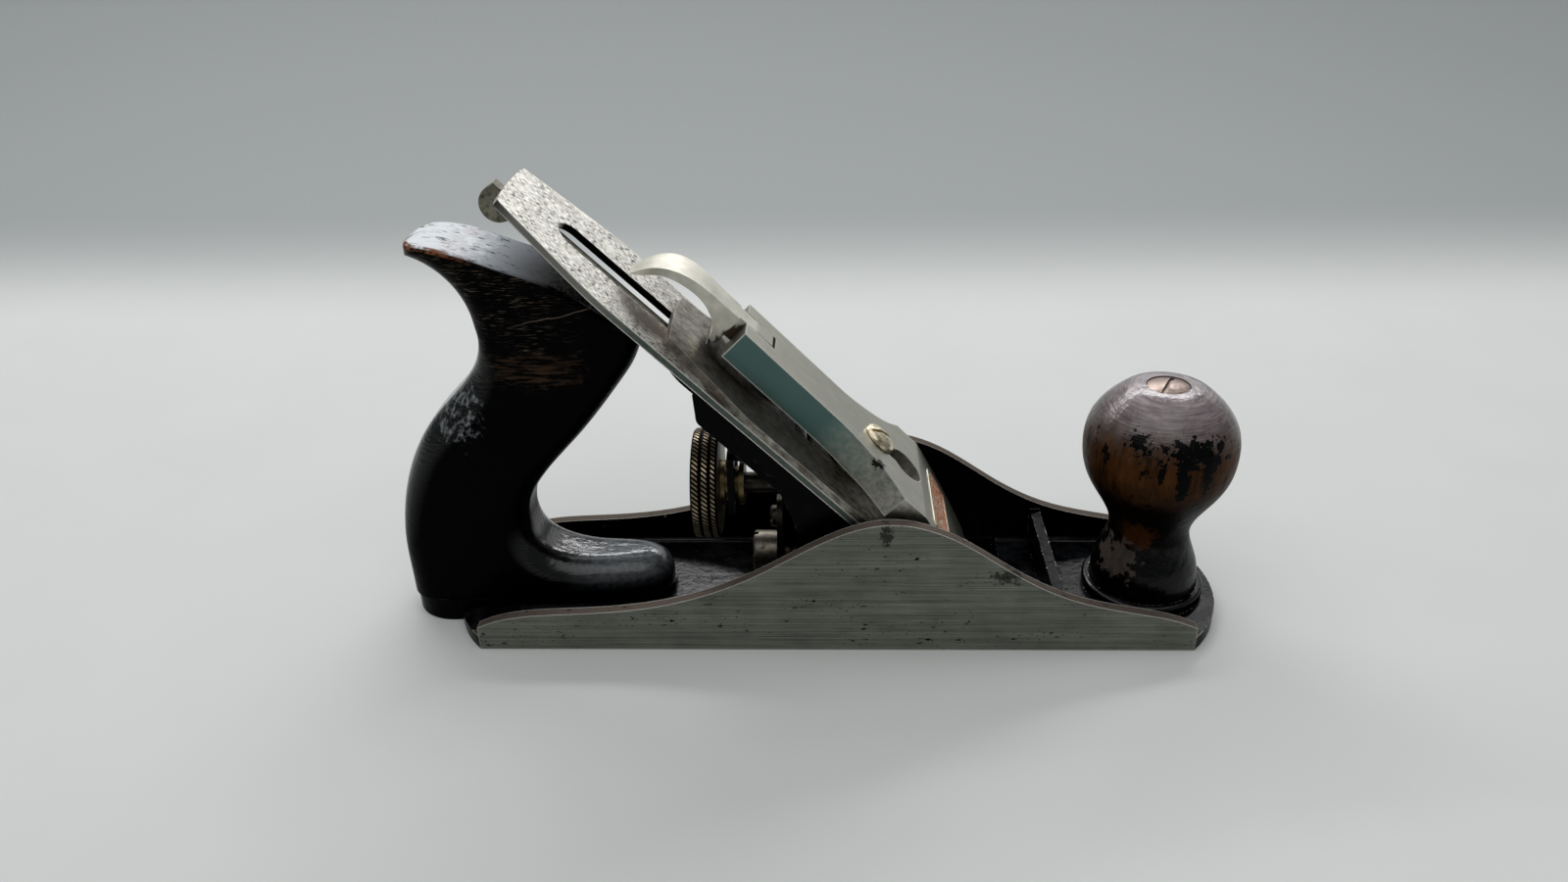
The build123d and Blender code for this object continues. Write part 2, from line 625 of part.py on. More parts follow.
nodes = [plane_body, frog, frog_screws, frog_washers, frog_adjusting_screw, frog_adjusting_plate,
         frog_plate_screw, adjusting_stud, adjusting_collar, adjusting_wheel, y_lever, y_lever_pin,
         cutting_iron, cap_iron, cap_iron_screw, lateral_lever, lateral_pivot, lateral_disc,
         lever_cap, lever_cap_screw, cam_lever, cam_pin, lever_cap_spring, spring_rivet,
         front_knob, knob_bolt, knob_nut, rear_tote, tote_bolt, tote_nut]

for node in nodes:
    export_step(node(), "parts/" + node.__name__ + ".step")
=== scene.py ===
import bpy
import json
import math
from mathutils import Matrix, Vector

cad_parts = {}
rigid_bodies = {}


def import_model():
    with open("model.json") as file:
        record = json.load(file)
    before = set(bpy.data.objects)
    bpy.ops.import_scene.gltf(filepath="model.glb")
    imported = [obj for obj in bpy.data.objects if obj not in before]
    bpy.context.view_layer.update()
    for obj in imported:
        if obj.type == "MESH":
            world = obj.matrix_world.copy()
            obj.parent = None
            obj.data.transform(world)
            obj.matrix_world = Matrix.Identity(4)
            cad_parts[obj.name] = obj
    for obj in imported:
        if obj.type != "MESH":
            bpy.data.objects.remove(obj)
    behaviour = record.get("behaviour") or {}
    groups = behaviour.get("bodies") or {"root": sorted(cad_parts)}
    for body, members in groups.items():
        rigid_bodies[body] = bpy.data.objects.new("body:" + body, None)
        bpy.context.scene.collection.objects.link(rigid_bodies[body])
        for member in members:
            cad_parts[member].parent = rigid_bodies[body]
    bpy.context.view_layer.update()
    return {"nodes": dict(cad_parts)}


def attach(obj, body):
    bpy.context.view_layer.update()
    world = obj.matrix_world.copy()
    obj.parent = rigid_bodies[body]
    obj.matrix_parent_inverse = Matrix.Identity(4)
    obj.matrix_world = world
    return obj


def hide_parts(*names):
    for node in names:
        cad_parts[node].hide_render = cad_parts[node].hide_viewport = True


for left in list(bpy.data.objects):  # the startup cube, lamp and camera
    bpy.data.objects.remove(left)
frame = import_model()
nodes = frame["nodes"]
print("frame loaded:", len(nodes), "pieces of the plane")

mm = 0.001  # in the metres that Blender counts in
bedAngle = math.radians(45)  # the frog's bed, to the sole
alongBed = [-math.cos(bedAngle), 0.0, math.sin(bedAngle)]  # the way up the bed
offBed = [math.sin(bedAngle), 0.0, math.cos(bedAngle)]  # the way straight off it


def linear(hexText):  # sRGB hex to the linear colour that the sockets take
    parts = [int(hexText[i:i + 2], 16) / 255 for i in (1, 3, 5)]
    return [c / 12.92 if c <= 0.04045 else ((c + 0.055) / 1.055) ** 2.4 for c in parts] + [1.0]


def put(tree, kind, given=None):
    # adds one node: plain values are set, nodes and sockets are linked in, a pair fills a Min and a Max
    node = tree.nodes.new("ShaderNode" + kind)
    feeds = {}
    for key, value in (given or {}).items():
        if isinstance(value, tuple):
            feeds[key + " Min"], feeds[key + " Max"] = value
        elif isinstance(key, int) or any(s.name == key for s in node.inputs):
            feeds[key] = value
        else:
            setattr(node, key, value)
    for key, value in feeds.items():
        socket = node.inputs[key] if isinstance(key, int) else next(
            s for s in node.inputs if s.name == key and s.enabled)
        if isinstance(value, bpy.types.Node):
            value = next(s for s in value.outputs if s.enabled)
        if isinstance(value, bpy.types.NodeSocket):
            tree.links.new(value, socket)
        else:
            socket.default_value = linear(value) if isinstance(value, str) else value
    return node


def newFinish(name):  # an empty finish, with the place on the plane in mm and the way the surface faces
    material = bpy.data.materials.new(name)
    material.use_nodes = True
    tree = material.node_tree
    tree.nodes.clear()
    coords = put(tree, "TexCoord")
    place = put(tree, "VectorMath", {"operation": "SCALE", 0: coords.outputs["Object"], "Scale": 1.0 / mm})
    return material, tree, place, coords.outputs["Normal"]


def lay(tree, given):  # the finished surface
    put(tree, "OutputMaterial", {"Surface": put(tree, "BsdfPrincipled", given)})


def coats(tree, colour, *layers):  # colours laid one over another, each where its own mask shows
    for where, tone in layers:
        colour = put(tree, "Mix", {"data_type": "RGBA", "Factor": where, "A": colour, "B": tone})
    return colour


def flecks(tree, place, grain, cut=(0.3, 0.7), detail=4.0):
    # a cloud with grains of these mm sizes: 0 under the first level of the cut, 1 over the second
    scaled = put(tree, "VectorMath", {"operation": "DIVIDE", 0: place, 1: grain})
    cloud = put(tree, "TexNoise", {"Vector": scaled, "Scale": 1.0, "Detail": detail, "Roughness": 0.6})
    return put(tree, "MapRange", {"Value": cloud, "From": cut})


def patch(tree, place, centre, reach, ragged, tear, soft=0.08):
    # 1 inside a spot round a point, with an edge torn by a cloud of this grain, sizes in mm
    shifted = put(tree, "VectorMath", {"operation": "SUBTRACT", 0: place, 1: centre})
    scaled = put(tree, "VectorMath", {"operation": "DIVIDE", 0: shifted, 1: reach})
    away = put(tree, "VectorMath", {"operation": "LENGTH", 0: scaled})
    cloud = put(tree, "TexNoise", {"Vector": place, "Scale": 1.0 / tear, "Detail": 5.0, "Roughness": 0.65})
    edge = put(tree, "Math", {"operation": "MULTIPLY_ADD", 0: cloud, 1: 2.0 * ragged, 2: away})
    edgeAt = 1.0 + ragged
    return put(tree, "MapRange", {"Value": edge, "From": (edgeAt + soft, edgeAt - soft)})


def pits(tree, place, spacing, radius, ragged=2.5, soft=0.4):
    # 1 inside dots about this far apart in mm, with torn edges; ragged and soft count in the dot's radius
    cell = put(tree, "TexVoronoi", {"Vector": place, "Scale": 1.0 / spacing})
    tear = radius / 0.6
    cloud = put(tree, "TexNoise", {"Vector": place, "Scale": 1.0 / tear, "Detail": 4.0, "Roughness": 0.7})
    reach = radius / spacing
    edge = put(tree, "Math", {"operation": "MULTIPLY_ADD", 0: cloud, 1: 2.0 * ragged * reach, 2: cell})
    edgeAt = 1.0 + ragged
    return put(tree, "MapRange", {"Value": edge, "From": (edgeAt * reach, (edgeAt - soft) * reach)})


def wornEdges(tree, reach, cut):  # 1 along the arrises, found as far in as reach in mm
    soft = put(tree, "Bevel", {"samples": 6, "Radius": reach * mm})
    sharp = put(tree, "NewGeometry")
    same = put(tree, "VectorMath", {"operation": "DOT_PRODUCT", 0: soft, 1: sharp.outputs["Normal"]})
    return put(tree, "MapRange", {"Value": same, "From": cut})


def dress(finish, *names):
    for name in names:
        nodes[name].data.materials[0] = finish


castBody = {
    "iron": "#94968c", "ironDark": "#575952", "rim": "#5a514a", "arris": "#cfccc3", "pit": "#12100e",
    "japan": "#040405", "dust": "#282b2f", "flake": "#8d897c", "gloss": 0.02, "filmRough": 0.24,
    # where it is ground: mm out from the middle, then how far the face looks down or up
    "cheek": (26.8, 26.95), "wall": (23.65, 23.85), "sole": (-0.4, -0.6), "upward": (0.3, 0.45),
    # the belt's lines are nearer 0.1 mm across, and are drawn coarser to show
    "lines": dict(grain=[45.0, 0.42, 0.42], cut=(0.36, 0.64), detail=3.0),
    "blotch": dict(grain=[13.0, 13.0, 7.0], cut=(0.35, 0.7)),
    "tone": 0.09, "lineShow": 0.4, "blotchShow": 0.26, "rimStain": -0.7, "ironRough": (0.52, 0.4),
    # rust in mm: dots drawn out lengthwise where they crowd, a row at the heel, two smears on the near cheek
    "dotStretch": [0.55, 1.0, 1.0],
    "dots": dict(spacing=2.4, radius=0.42),
    "specks": dict(spacing=0.9, radius=0.16),
    "crowd": dict(grain=[20.0, 20.0, 8.0], cut=(0.51, 0.6), detail=2.0),
    "heelRow": dict(centre=[-66.0, -27.0, 11.0], reach=[38.0, 8.0, 3.0], ragged=0.9, tear=5.0),
    "smear": dict(centre=[48.7, -27.0, 24.9], reach=[3.6, 6.0, 2.0], ragged=2.2, tear=2.0, soft=0.25),
    "smearTop": dict(centre=[14.7, -27.0, 38.6], reach=[1.5, 6.0, 3.0], ragged=2.2, tear=1.429, soft=0.25),
    "smearShow": 0.75, "rustDepth": -1.2,
    "edge": dict(reach=0.5, cut=(0.97, 0.86)),
    # the black: dust on level faces, flakes lost here and there, edges chipped in front of the frog
    "settled": dict(grain=[9.0] * 3, cut=(0.48, 0.75), detail=5.0),
    "level": (0.75, 0.98), "dustShow": 0.6, "japanRough": (0.2, 0.55),
    "lost": dict(spacing=8.0, radius=0.45),
    "chipEdge": dict(reach=0.5, cut=(0.95, 0.82)),
    "rubbed": dict(grain=[1.0] * 3, cut=(0.55, 0.64)),
    "front": (30.0, 40.0),
    # its gloss by mm along the plane: behind the frog, and on the rounded edge of the knob's seat
    "heel": (5.0, -10.0), "heelFilm": (0.04, 0.5), "seat": (66.0, 71.0), "rounded": (0.99, 0.95),
    "roundedFilm": (0.13, 0.6),
    "skin": dict(grain=[2.4] * 3, cut=(0.2, 0.8), detail=3.0), "bump": 0.35, "relief": 0.25}


def bodyFinish():
    # Grey iron casting: cheeks, rims and sole ground on a belt, the rest brushed with black japan and baked.
    # Ground faces are dull grey with lengthwise lines and rust pits, the japan a deep black gloss with dust
    material, tree, place, facing = newFinish("Grey iron ground bright, black japan inside")
    look = castBody
    at = put(tree, "SeparateXYZ", {0: place})
    turn = put(tree, "SeparateXYZ", {0: facing})
    across = put(tree, "Math", {"operation": "ABSOLUTE", 0: at.outputs[1]})
    cheek = put(tree, "MapRange", {"Value": across, "From": look["cheek"]})
    sole = put(tree, "MapRange", {"Value": turn.outputs[2], "From": look["sole"]})
    wall = put(tree, "MapRange", {"Value": across, "From": look["wall"]})
    upward = put(tree, "MapRange", {"Value": turn.outputs[2], "From": look["upward"]})
    rim = put(tree, "Math", {"operation": "MULTIPLY", 0: wall, 1: upward})
    ground = put(tree, "Math", {"operation": "MAXIMUM", 0: cheek, 1: sole})
    bare = put(tree, "Math", {"operation": "MAXIMUM", 0: ground, 1: rim})
    lines = flecks(tree, place, **look["lines"])
    blotch = flecks(tree, place, **look["blotch"])
    lined = put(tree, "Math", {"operation": "MULTIPLY_ADD", 0: lines, 1: look["lineShow"], 2: look["tone"]})
    toned = put(tree, "Math", {"operation": "MULTIPLY_ADD", 0: blotch, 1: look["blotchShow"], 2: lined})
    drawn = put(tree, "VectorMath", {"operation": "MULTIPLY", 0: place, 1: look["dotStretch"]})
    dots = pits(tree, drawn, **look["dots"])
    specks = pits(tree, drawn, **look["specks"])
    holes = put(tree, "Math", {"operation": "MAXIMUM", 0: dots, 1: specks})
    crowd = flecks(tree, place, **look["crowd"])
    heelRow = patch(tree, place, **look["heelRow"])
    crowded = put(tree, "Math", {"operation": "MAXIMUM", 0: crowd, 1: heelRow})
    pitted = put(tree, "Math", {"operation": "MULTIPLY", 0: holes, 1: crowded})
    smear = patch(tree, place, **look["smear"])
    smearTop = patch(tree, place, **look["smearTop"])
    smears = put(tree, "Math", {"operation": "MAXIMUM", 0: smear, 1: smearTop})
    rusted = put(tree, "Math", {"operation": "MULTIPLY_ADD", 0: smears, 1: look["smearShow"], 2: pitted,
                                "use_clamp": True})
    edge = wornEdges(tree, **look["edge"])
    iron = coats(tree, look["ironDark"], (toned, look["iron"]), (rim, look["rim"]), (rusted, look["pit"]),
                 (edge, look["arris"]))
    settled = flecks(tree, place, **look["settled"])
    level = put(tree, "MapRange", {"Value": turn.outputs[2], "From": look["level"]})
    dusty = put(tree, "Math", {"operation": "MULTIPLY", 0: settled, 1: level})
    dusted = put(tree, "Math", {"operation": "MULTIPLY", 0: dusty, 1: look["dustShow"]})
    lost = pits(tree, place, **look["lost"])
    japan = coats(tree, look["japan"], (dusted, look["dust"]), (lost, look["flake"]))
    chipEdge = wornEdges(tree, **look["chipEdge"])
    rubbed = flecks(tree, place, **look["rubbed"])
    front = put(tree, "MapRange", {"Value": at.outputs[0], "From": look["front"]})
    chipFront = put(tree, "Math", {"operation": "MULTIPLY", 0: chipEdge, 1: front})
    chipped = put(tree, "Math", {"operation": "MULTIPLY", 0: chipFront, 1: rubbed})
    metal = put(tree, "Math", {"operation": "MAXIMUM", 0: bare, 1: chipped})
    colour = coats(tree, japan, (metal, iron))
    ironRough = put(tree, "MapRange", {"Value": toned, "To": look["ironRough"]})
    japanRough = put(tree, "MapRange", {"Value": dusty, "To": look["japanRough"]})
    rough = put(tree, "Mix", {"Factor": metal, "A": japanRough, "B": ironRough})
    skin = flecks(tree, place, **look["skin"])
    height = put(tree, "Mix", {"Factor": bare, "A": skin, "B": lines})
    depth = put(tree, "Math", {"operation": "MULTIPLY_ADD", 0: rusted, 1: look["rustDepth"], 2: height})
    bump = put(tree, "Bump", {"Strength": look["bump"], "Distance": look["relief"] * mm, "Height": depth})
    stained = put(tree, "Math", {"operation": "MULTIPLY_ADD", 0: rim, 1: look["rimStain"], 2: metal,
                                 "use_clamp": True})
    heel = put(tree, "MapRange", {"Value": at.outputs[0], "From": look["heel"], "To": look["heelFilm"]})
    fore = put(tree, "MapRange", {"Value": at.outputs[0], "From": look["seat"]})
    rounded = put(tree, "MapRange", {"Value": turn.outputs[2], "From": look["rounded"],
                                     "To": look["roundedFilm"]})
    seat = put(tree, "Math", {"operation": "MULTIPLY", 0: fore, 1: rounded})
    glossy = put(tree, "Math", {"operation": "MAXIMUM", 0: heel, 1: seat})
    faceUp = put(tree, "Math", {"operation": "MULTIPLY", 0: glossy, 1: upward})
    lacquer = put(tree, "Math", {"operation": "SUBTRACT", 0: 1.0, 1: metal})
    film = put(tree, "Math", {"operation": "MULTIPLY", 0: faceUp, 1: lacquer})
    lay(tree, {"Base Color": colour, "Metallic": stained, "Roughness": rough, "Normal": bump,
               "Specular IOR Level": look["gloss"], "Coat Weight": film, "Coat Roughness": look["filmRough"],
               "Coat Normal": bump})
    return material


castFrog = {
    "japan": "#020203", "dust": "#1d1e20", "steel": "#6d6b66", "gloss": 0.05, "rough": (0.26, 0.55),
    # mm out to the bed, and how squarely a face looks off it
    "bedLift": (30.9, 31.1), "bedFacing": (0.9, 0.97),
    "settled": dict(grain=[5.0] * 3, cut=(0.5, 0.8), detail=5.0), "dustShow": 0.25,
    "edge": dict(reach=0.5, cut=(0.95, 0.8)),
    "skin": dict(grain=[2.0] * 3, cut=(0.2, 0.8), detail=3.0), "bump": 0.35, "relief": 0.3}


def frogFinish():
    # Grey iron, japanned black all over and then machined on the bed: deep black with a dull grey seat
    material, tree, place, facing = newFinish("Grey iron japanned black, machined bed")
    look = castFrog
    lift = put(tree, "VectorMath", {"operation": "DOT_PRODUCT", 0: place, 1: offBed})
    square = put(tree, "VectorMath", {"operation": "DOT_PRODUCT", 0: facing, 1: offBed})
    onBed = put(tree, "MapRange", {"Value": lift, "From": look["bedLift"]})
    flatBed = put(tree, "MapRange", {"Value": square, "From": look["bedFacing"]})
    bed = put(tree, "Math", {"operation": "MULTIPLY", 0: onBed, 1: flatBed})
    settled = flecks(tree, place, **look["settled"])
    edge = wornEdges(tree, **look["edge"])
    rubbed = put(tree, "Math", {"operation": "MULTIPLY", 0: edge, 1: settled})
    metal = put(tree, "Math", {"operation": "MAXIMUM", 0: bed, 1: rubbed})
    dusty = put(tree, "Math", {"operation": "MULTIPLY", 0: settled, 1: look["dustShow"]})
    colour = coats(tree, look["japan"], (dusty, look["dust"]), (metal, look["steel"]))
    rough = put(tree, "MapRange", {"Value": settled, "To": look["rough"]})
    skin = flecks(tree, place, **look["skin"])
    bump = put(tree, "Bump", {"Strength": look["bump"], "Distance": look["relief"] * mm, "Height": skin})
    lay(tree, {"Base Color": colour, "Metallic": metal, "Roughness": rough, "Normal": bump,
               "Specular IOR Level": look["gloss"]})
    return material


dress(bodyFinish(), "plane_body")
dress(frogFinish(), "frog", "y_lever")
print("castings finished")

bladeSteel = {
    "pale": "#f6f4ee", "mid": "#e6e3da", "fleck": "#332c26", "stain": "#6b5f54", "dark": "#6f665c",
    "side": "#58605a", "sideWorn": "#8b8a82", "slot": "#171512", "arris": "#f4f2ec", "rough": (0.46, 0.68),
    # the dashes of a grind are nearer 0.1 mm across, and are drawn coarser to show
    "dash": dict(grain=[0.42, 0.42, 1.5], cut=(0.47, 0.59), detail=3.0),
    "cloud": dict(grain=[4.0] * 3, detail=5.0),
    "crowd": dict(grain=[5.0] * 3, cut=(0.28, 0.5)),
    "damp": dict(grain=[6.0] * 3, cut=(0.35, 0.6)),
    "smudge": dict(centre=[33.5, -10.0, 101.0], reach=[9.0, 6.5, 9.0], ragged=0.9, tear=5.0, soft=0.5),
    # mm up the bed, mm out from the middle, and how far the face looks sideways
    "lower": (108.0, 82.0), "handled": (104.0, 120.0), "outer": (14.0, 16.0), "sideways": (0.5, 0.7),
    "edge": dict(reach=0.8, cut=(0.97, 0.85)), "bump": 0.25, "relief": 0.08}


def ironFinish():
    # Tool steel, ground lengthwise and long in use: a pale sheet crowded with short dark dashes along the
    # grind, brown and dark where damp stayed
    material, tree, place, facing = newFinish("Tool steel ground, tarnished")
    look = bladeSteel
    at = put(tree, "SeparateXYZ", {0: place})
    turn = put(tree, "SeparateXYZ", {0: facing})
    along = put(tree, "VectorMath", {"operation": "DOT_PRODUCT", 0: place, 1: alongBed})
    bedFrame = put(tree, "VectorRotate", {"rotation_type": "Y_AXIS", "Vector": place, "Angle": bedAngle})
    cloud = flecks(tree, place, **look["cloud"])
    dash = flecks(tree, bedFrame, **look["dash"])
    crowd = flecks(tree, place, **look["crowd"])
    dashes = put(tree, "Math", {"operation": "MULTIPLY", 0: dash, 1: crowd})
    smudge = patch(tree, bedFrame, **look["smudge"])
    lower = put(tree, "MapRange", {"Value": along, "From": look["lower"]})
    damp = flecks(tree, place, **look["damp"])
    brown = put(tree, "Math", {"operation": "MULTIPLY", 0: lower, 1: damp})
    sidelong = put(tree, "Math", {"operation": "ABSOLUTE", 0: turn.outputs[1]})
    side = put(tree, "MapRange", {"Value": sidelong, "From": look["sideways"]})
    across = put(tree, "Math", {"operation": "ABSOLUTE", 0: at.outputs[1]})
    outer = put(tree, "MapRange", {"Value": across, "From": look["outer"]})
    handled = put(tree, "MapRange", {"Value": along, "From": look["handled"]})
    edge = wornEdges(tree, **look["edge"])
    edgeOut = put(tree, "Math", {"operation": "MULTIPLY", 0: edge, 1: outer})
    outside = coats(tree, look["side"], (handled, look["sideWorn"]))
    sides = coats(tree, look["slot"], (outer, outside))
    colour = coats(tree, look["mid"], (cloud, look["pale"]), (dashes, look["fleck"]), (smudge, look["dark"]),
                   (brown, look["stain"]), (side, sides), (edgeOut, look["arris"]))
    rough = put(tree, "MapRange", {"Value": dashes, "To": look["rough"]})
    bump = put(tree, "Bump", {"Strength": look["bump"], "Distance": look["relief"] * mm, "Height": dash,
                              "invert": True})
    lay(tree, {"Base Color": colour, "Metallic": 1.0, "Roughness": rough, "Normal": bump})
    return material


capSteel = {
    "pale": "#aaa79d", "mid": "#6f6b63", "brown": "#4a3f36", "arris": "#cfccc3", "rough": (0.38, 0.58),
    "cloud": dict(grain=[3.0] * 3, detail=5.0),
    "stain": dict(grain=[1.3, 1.3, 2.8], cut=(0.42, 0.66), detail=5.0),
    "low": (66.0, 20.0), "stainShow": (0.55, 1.0),  # mm up the bed, and how far the stain shows there
    "edge": dict(reach=0.35, cut=(0.97, 0.85)), "bump": 0.2, "relief": 0.08}


def capIronFinish():
    # Carbon steel, ground then browned by handling: darker than the blade, clouded with brown that thickens
    # towards its lower end
    material, tree, place = newFinish("Carbon steel ground, browned")[:3]
    look = capSteel
    along = put(tree, "VectorMath", {"operation": "DOT_PRODUCT", 0: place, 1: alongBed})
    bedFrame = put(tree, "VectorRotate", {"rotation_type": "Y_AXIS", "Vector": place, "Angle": bedAngle})
    cloud = flecks(tree, place, **look["cloud"])
    stain = flecks(tree, bedFrame, **look["stain"])
    low = put(tree, "MapRange", {"Value": along, "From": look["low"], "To": look["stainShow"]})
    browned = put(tree, "Math", {"operation": "MULTIPLY", 0: stain, 1: low})
    edge = wornEdges(tree, **look["edge"])
    colour = coats(tree, look["mid"], (cloud, look["pale"]), (browned, look["brown"]), (edge, look["arris"]))
    rough = put(tree, "MapRange", {"Value": stain, "To": look["rough"]})
    bump = put(tree, "Bump", {"Strength": look["bump"], "Distance": look["relief"] * mm, "Height": stain,
                              "invert": True})
    lay(tree, {"Base Color": colour, "Metallic": 1.0, "Roughness": rough, "Normal": bump})
    return material


dress(ironFinish(), "cutting_iron")
dress(capIronFinish(), "cap_iron")
print("irons finished")

capNickel = {
    "top": "#c4c2b6", "topDark": "#9c9a8f", "teal": "#536c69", "flare": "#c6c0b2", "arris": "#efece3",
    "chip": "#2b2824", "paint": "#dd7f44", "paintDark": "#a35a33", "rubbed": "#e8dac6", "rough": (0.46, 0.34),
    # the polishing lines are nearer 0.1 mm across, and are drawn coarser to show
    "lines": dict(grain=[0.4, 0.4, 30.0], detail=3.0),
    "cloud": dict(grain=[8.0] * 3), "tone": 0.3, "lineShow": 0.4, "cloudShow": 0.35,
    # the sides: how far the face looks sideways, mm up the bed, and the scratched grey of the shoulders
    "sideways": (0.45, 0.6), "low": (47.0, 22.0),
    "mist": dict(grain=[1.6] * 3, cut=(0.35, 0.65), detail=6.0), "mistShow": 0.65, "mistLeast": 0.4,
    "nick": dict(centre=[13.4, -13.9, 53.8], reach=[1.9, 1.6, 1.3], ragged=2.4, tear=1.111),
    "edge": dict(reach=0.9, cut=(0.97, 0.86)),
    # the panel in mm, up the bed from its foot and either side of the middle
    "bedFoot": -31.18, "panelStart": 25.7, "panelEnd": 35.3, "panelHalf": 15.1, "panelSoft": 0.1,
    "panelFacing": (0.3, 0.5),
    "shade": dict(grain=[2.0] * 3),
    "lost": dict(grain=[1.0] * 3, cut=(0.5, 0.56)), "bump": 0.12, "relief": 0.06}


def leverCapFinish():
    # Malleable iron, ground and nickel plated: satin warm grey on top with fine lines, sides tarnished dark
    # and bluish, greyer and scratched at the shoulders; the sunk panel is enamelled orange-red and worn
    material, tree, place, facing = newFinish("Nickel plate over ground iron, enamelled panel")
    look = capNickel
    at = put(tree, "SeparateXYZ", {0: place})
    turn = put(tree, "SeparateXYZ", {0: facing})
    along = put(tree, "VectorMath", {"operation": "DOT_PRODUCT", 0: place, 1: alongBed})
    bedFrame = put(tree, "VectorRotate", {"rotation_type": "Y_AXIS", "Vector": place, "Angle": bedAngle})
    across = put(tree, "Math", {"operation": "ABSOLUTE", 0: at.outputs[1]})
    sidelong = put(tree, "Math", {"operation": "ABSOLUTE", 0: turn.outputs[1]})
    side = put(tree, "MapRange", {"Value": sidelong, "From": look["sideways"]})
    lines = flecks(tree, bedFrame, **look["lines"])
    cloud = flecks(tree, place, **look["cloud"])
    lined = put(tree, "Math", {"operation": "MULTIPLY_ADD", 0: lines, 1: look["lineShow"], 2: look["tone"]})
    toned = put(tree, "Math", {"operation": "MULTIPLY_ADD", 0: cloud, 1: look["cloudShow"], 2: lined,
                               "use_clamp": True})
    low = put(tree, "MapRange", {"Value": along, "From": look["low"]})
    mist = flecks(tree, place, **look["mist"])
    misted = put(tree, "Math", {"operation": "MULTIPLY_ADD", 0: mist, 1: look["mistShow"],
                                2: look["mistLeast"]})
    flared = put(tree, "Math", {"operation": "MULTIPLY", 0: low, 1: misted, "use_clamp": True})
    sides = coats(tree, look["teal"], (flared, look["flare"]))
    edge = wornEdges(tree, **look["edge"])
    nick = patch(tree, place, **look["nick"])
    start, end = (look["bedFoot"] + look[limit] for limit in ("panelStart", "panelEnd"))
    half, soft = look["panelHalf"], look["panelSoft"]
    startsAt = put(tree, "MapRange", {"Value": along, "From": (start - soft, start)})
    endsAt = put(tree, "MapRange", {"Value": along, "From": (end + soft, end)})
    within = put(tree, "MapRange", {"Value": across, "From": (half + soft, half)})
    onTop = put(tree, "MapRange", {"Value": turn.outputs[0], "From": look["panelFacing"]})
    band = put(tree, "Math", {"operation": "MULTIPLY", 0: startsAt, 1: endsAt})
    sheet = put(tree, "Math", {"operation": "MULTIPLY", 0: within, 1: onTop})
    panel = put(tree, "Math", {"operation": "MULTIPLY", 0: band, 1: sheet})
    shade = flecks(tree, place, **look["shade"])
    lost = flecks(tree, place, **look["lost"])
    enamel = coats(tree, look["paintDark"], (shade, look["paint"]), (lost, look["rubbed"]))
    colour = coats(tree, look["topDark"], (toned, look["top"]), (side, sides), (edge, look["arris"]),
                   (nick, look["chip"]), (panel, enamel))
    metal = put(tree, "Math", {"operation": "SUBTRACT", 0: 1.0, 1: panel})
    rough = put(tree, "MapRange", {"Value": toned, "To": look["rough"]})
    bump = put(tree, "Bump", {"Strength": look["bump"], "Distance": look["relief"] * mm, "Height": lines})
    lay(tree, {"Base Color": colour, "Metallic": metal, "Roughness": rough, "Normal": bump})
    return material


camNickel = {
    "bright": "#dcd9cd", "dull": "#bdbaae", "hub": "#b5b3a8", "grime": "#4b3f35", "rough": (0.36, 0.46),
    "cloud": dict(grain=[6.0] * 3),
    "root": dict(centre=[-25.5, 0.0, 85.5], reach=[7.0, 12.0, 5.5], ragged=0.4, tear=2.5),
    "rootFacing": (0.8, 0.5),  # grime and painted shade stay where the face looks away from the thumb
    # painted shade over the hub, a little darker than the plate round it
    "hubShade": dict(centre=[-18.5, 0.0, 82.5], reach=[6.5, 12.0, 6.5], ragged=0.3, tear=2.5),
    # rubbing lines are nearer 0.1 mm across, and are drawn coarser to show
    "lines": dict(grain=[3.0, 0.3, 3.0], detail=2.0), "bump": 0.08, "relief": 0.05}


def camFinish():
    # Malleable iron, nickel plated and rubbed satin by the thumb: pale warm sheen, brown grime with painted
    # shade at the root where the face turns away, and painted shade over the hub
    material, tree, place, facing = newFinish("Nickel plate rubbed by use")
    look = camNickel
    cloud = flecks(tree, place, **look["cloud"])
    root = patch(tree, place, **look["root"])
    square = put(tree, "VectorMath", {"operation": "DOT_PRODUCT", 0: facing, 1: offBed})
    hidden = put(tree, "MapRange", {"Value": square, "From": look["rootFacing"]})
    grimeAndShade = put(tree, "Math", {"operation": "MULTIPLY", 0: root, 1: hidden})
    hubShade = patch(tree, place, **look["hubShade"])
    colour = coats(tree, look["dull"], (cloud, look["bright"]), (hubShade, look["hub"]), (grimeAndShade, look["grime"]))
    lines = flecks(tree, place, **look["lines"])
    rough = put(tree, "MapRange", {"Value": lines, "To": look["rough"]})
    bump = put(tree, "Bump", {"Strength": look["bump"], "Distance": look["relief"] * mm, "Height": lines})
    lay(tree, {"Base Color": colour, "Metallic": 1.0, "Roughness": rough, "Normal": bump})
    return material


dress(leverCapFinish(), "lever_cap")
dress(camFinish(), "cam_lever")
print("lever cap finished")

